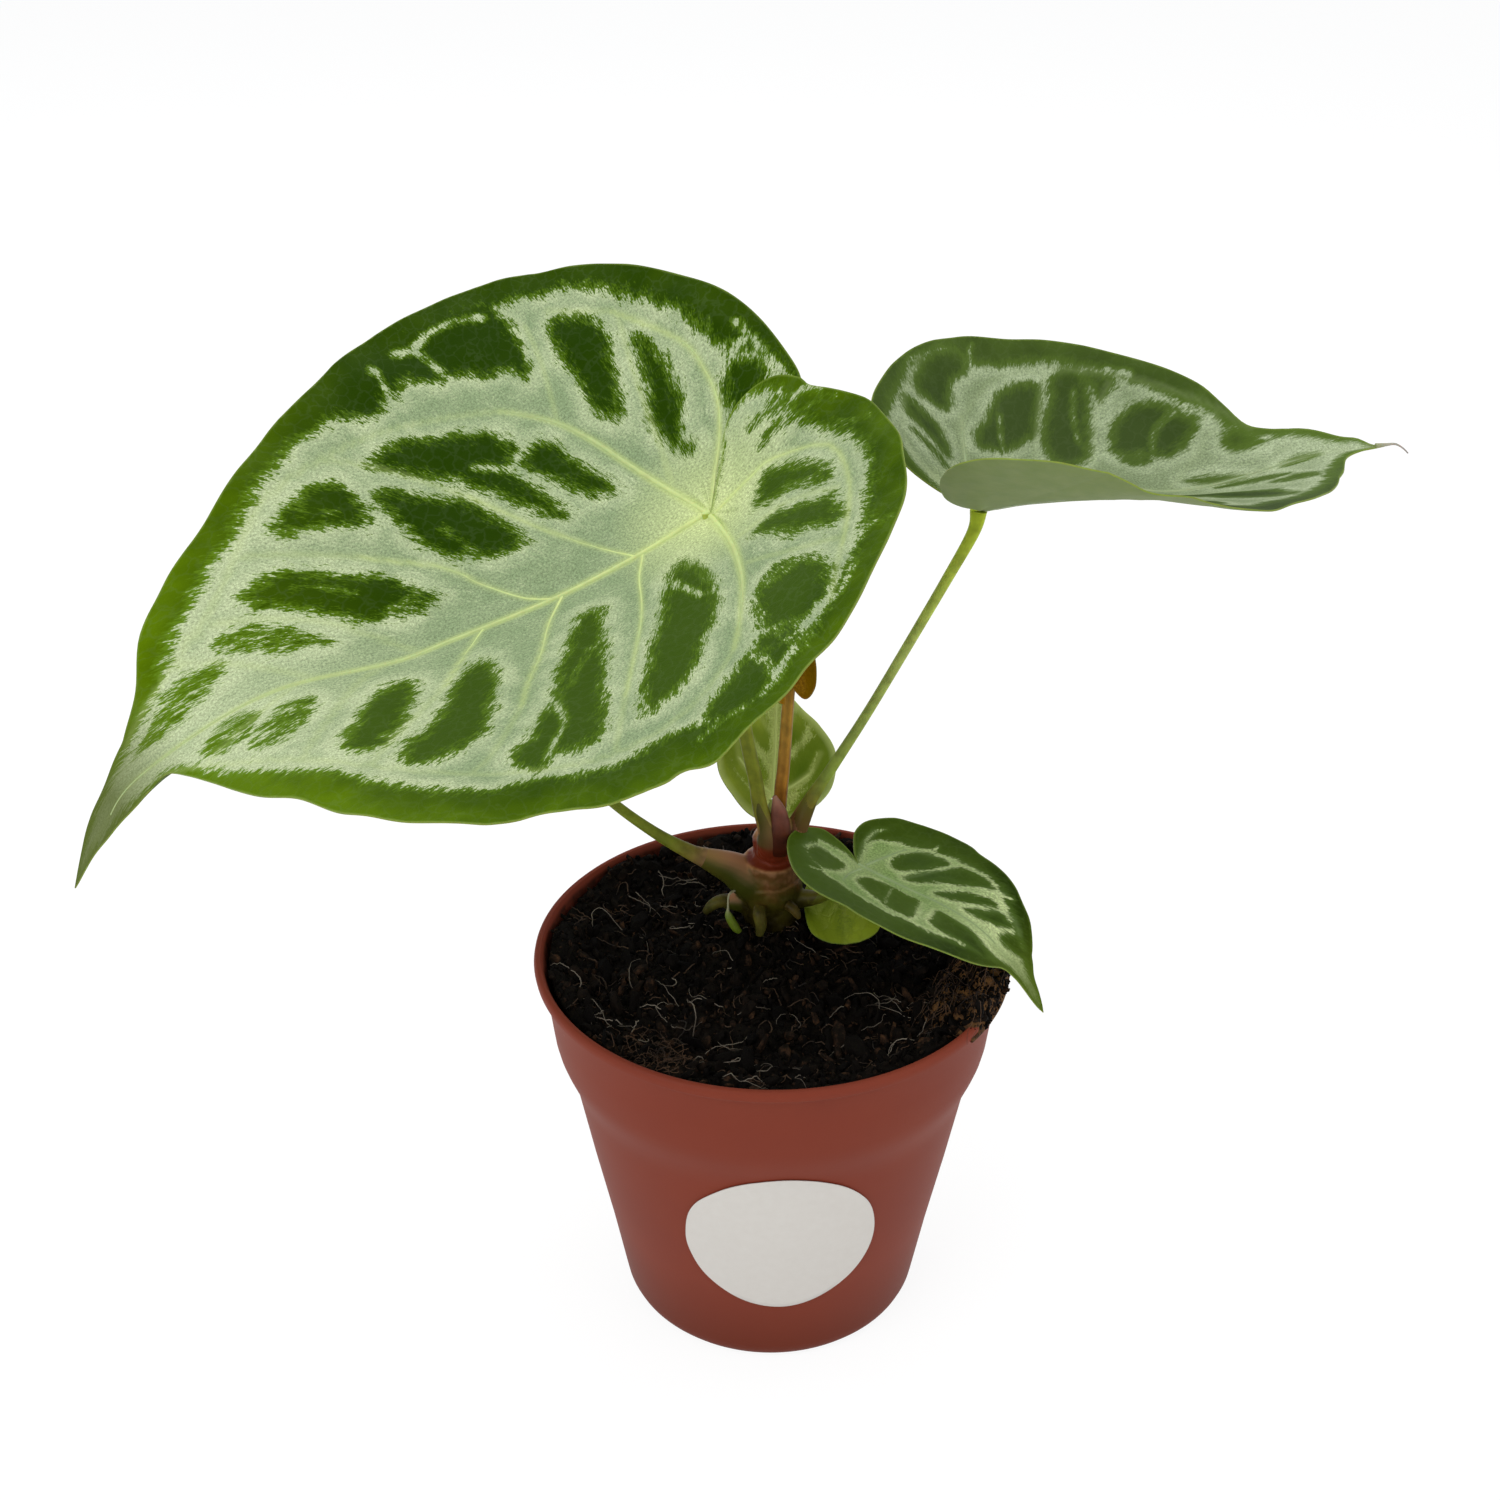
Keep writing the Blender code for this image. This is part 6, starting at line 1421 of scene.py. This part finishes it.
# Stage: a pale floor and room that the camera sees as white, with the soft shadow kept
def buildStage():
    corners = [(x * 3000, y * 3000, 0) for x, y in ((-1, -1), (1, -1), (1, 1), (-1, 1))]
    material = bpy.data.materials.new("paleFloor")
    material.use_nodes = True
    material.node_tree.nodes.clear()
    node = partial(addNode, material.node_tree)
    rays = node("LightPath").outputs
    seen = node("Math", rays["Is Camera Ray"], rays["Is Glossy Ray"], operation="MAXIMUM")
    matt = node("BsdfDiffuse", (0.8, 0.8, 0.79, 1))
    faint = node("BsdfDiffuse", (0.17, 0.17, 0.17, 1))
    glow = node("Emission", (1, 1, 1, 1), 0.88)
    node("OutputMaterial", node("MixShader", seen, matt, node("AddShader", faint, glow)))
    floor = newPiece("floor", corners, [(0, 1, 2, 3)], (material,))


def buildWorld():
    world = bpy.data.worlds.new("softRoom")
    bpy.context.scene.world = world
    world.use_nodes = True
    world.node_tree.nodes.clear()
    node = partial(addNode, world.node_tree)
    rays = node("LightPath").outputs
    seen = node("Math", rays["Is Camera Ray"], rays["Is Transmission Ray"], operation="MAXIMUM")
    room = node("Background", (0.95, 0.97, 1.0, 1), 0.5)
    white = node("Background", (1, 1, 1, 1), 1.0)
    node("OutputWorld", node("MixShader", seen, room, white))


lamps = dict(                            # place and size in metres, power in watts
    overhead=dict(place=(-0.10, 0.15, 0.75), size=0.9, power=3.2, colour=(1.0, 0.99, 0.97)),
    window=dict(place=(-0.55, -0.55, 0.55), size=0.7, power=3.4, colour=(1.0, 1.0, 1.0)),
    fill=dict(place=(0.65, -0.35, 0.35), size=0.7, power=1.6, colour=(1.0, 0.98, 0.95)))


def buildLamps():
    target = Vector((0, 0, 0.07))
    for name, lamp in lamps.items():
        data = bpy.data.lights.new(name, "AREA")
        data.shape, data.size, data.energy, data.color = "DISK", lamp["size"], lamp["power"], lamp["colour"]
        light = addObject(name, data)
        light.location = lamp["place"]
        light.rotation_euler = (target - light.location).to_track_quat("-Z", "Y").to_euler()


camera = dict(place=(-0.0027, -0.2097, 0.1963), down=29, lens=48)        # metres, degrees, mm


def buildCamera():
    data = bpy.data.cameras.new("camera")
    data.lens, data.sensor_width, data.clip_start = camera["lens"], 36, 0.01
    view = addObject("camera", data)
    view.location = camera["place"]
    view.rotation_euler = (math.radians(90 - camera["down"]), 0, 0)
    bpy.context.scene.camera = view


print("setting the stage")
buildStage()
buildWorld()
buildLamps()
buildCamera()
bpy.context.scene.view_settings.view_transform = "Standard"
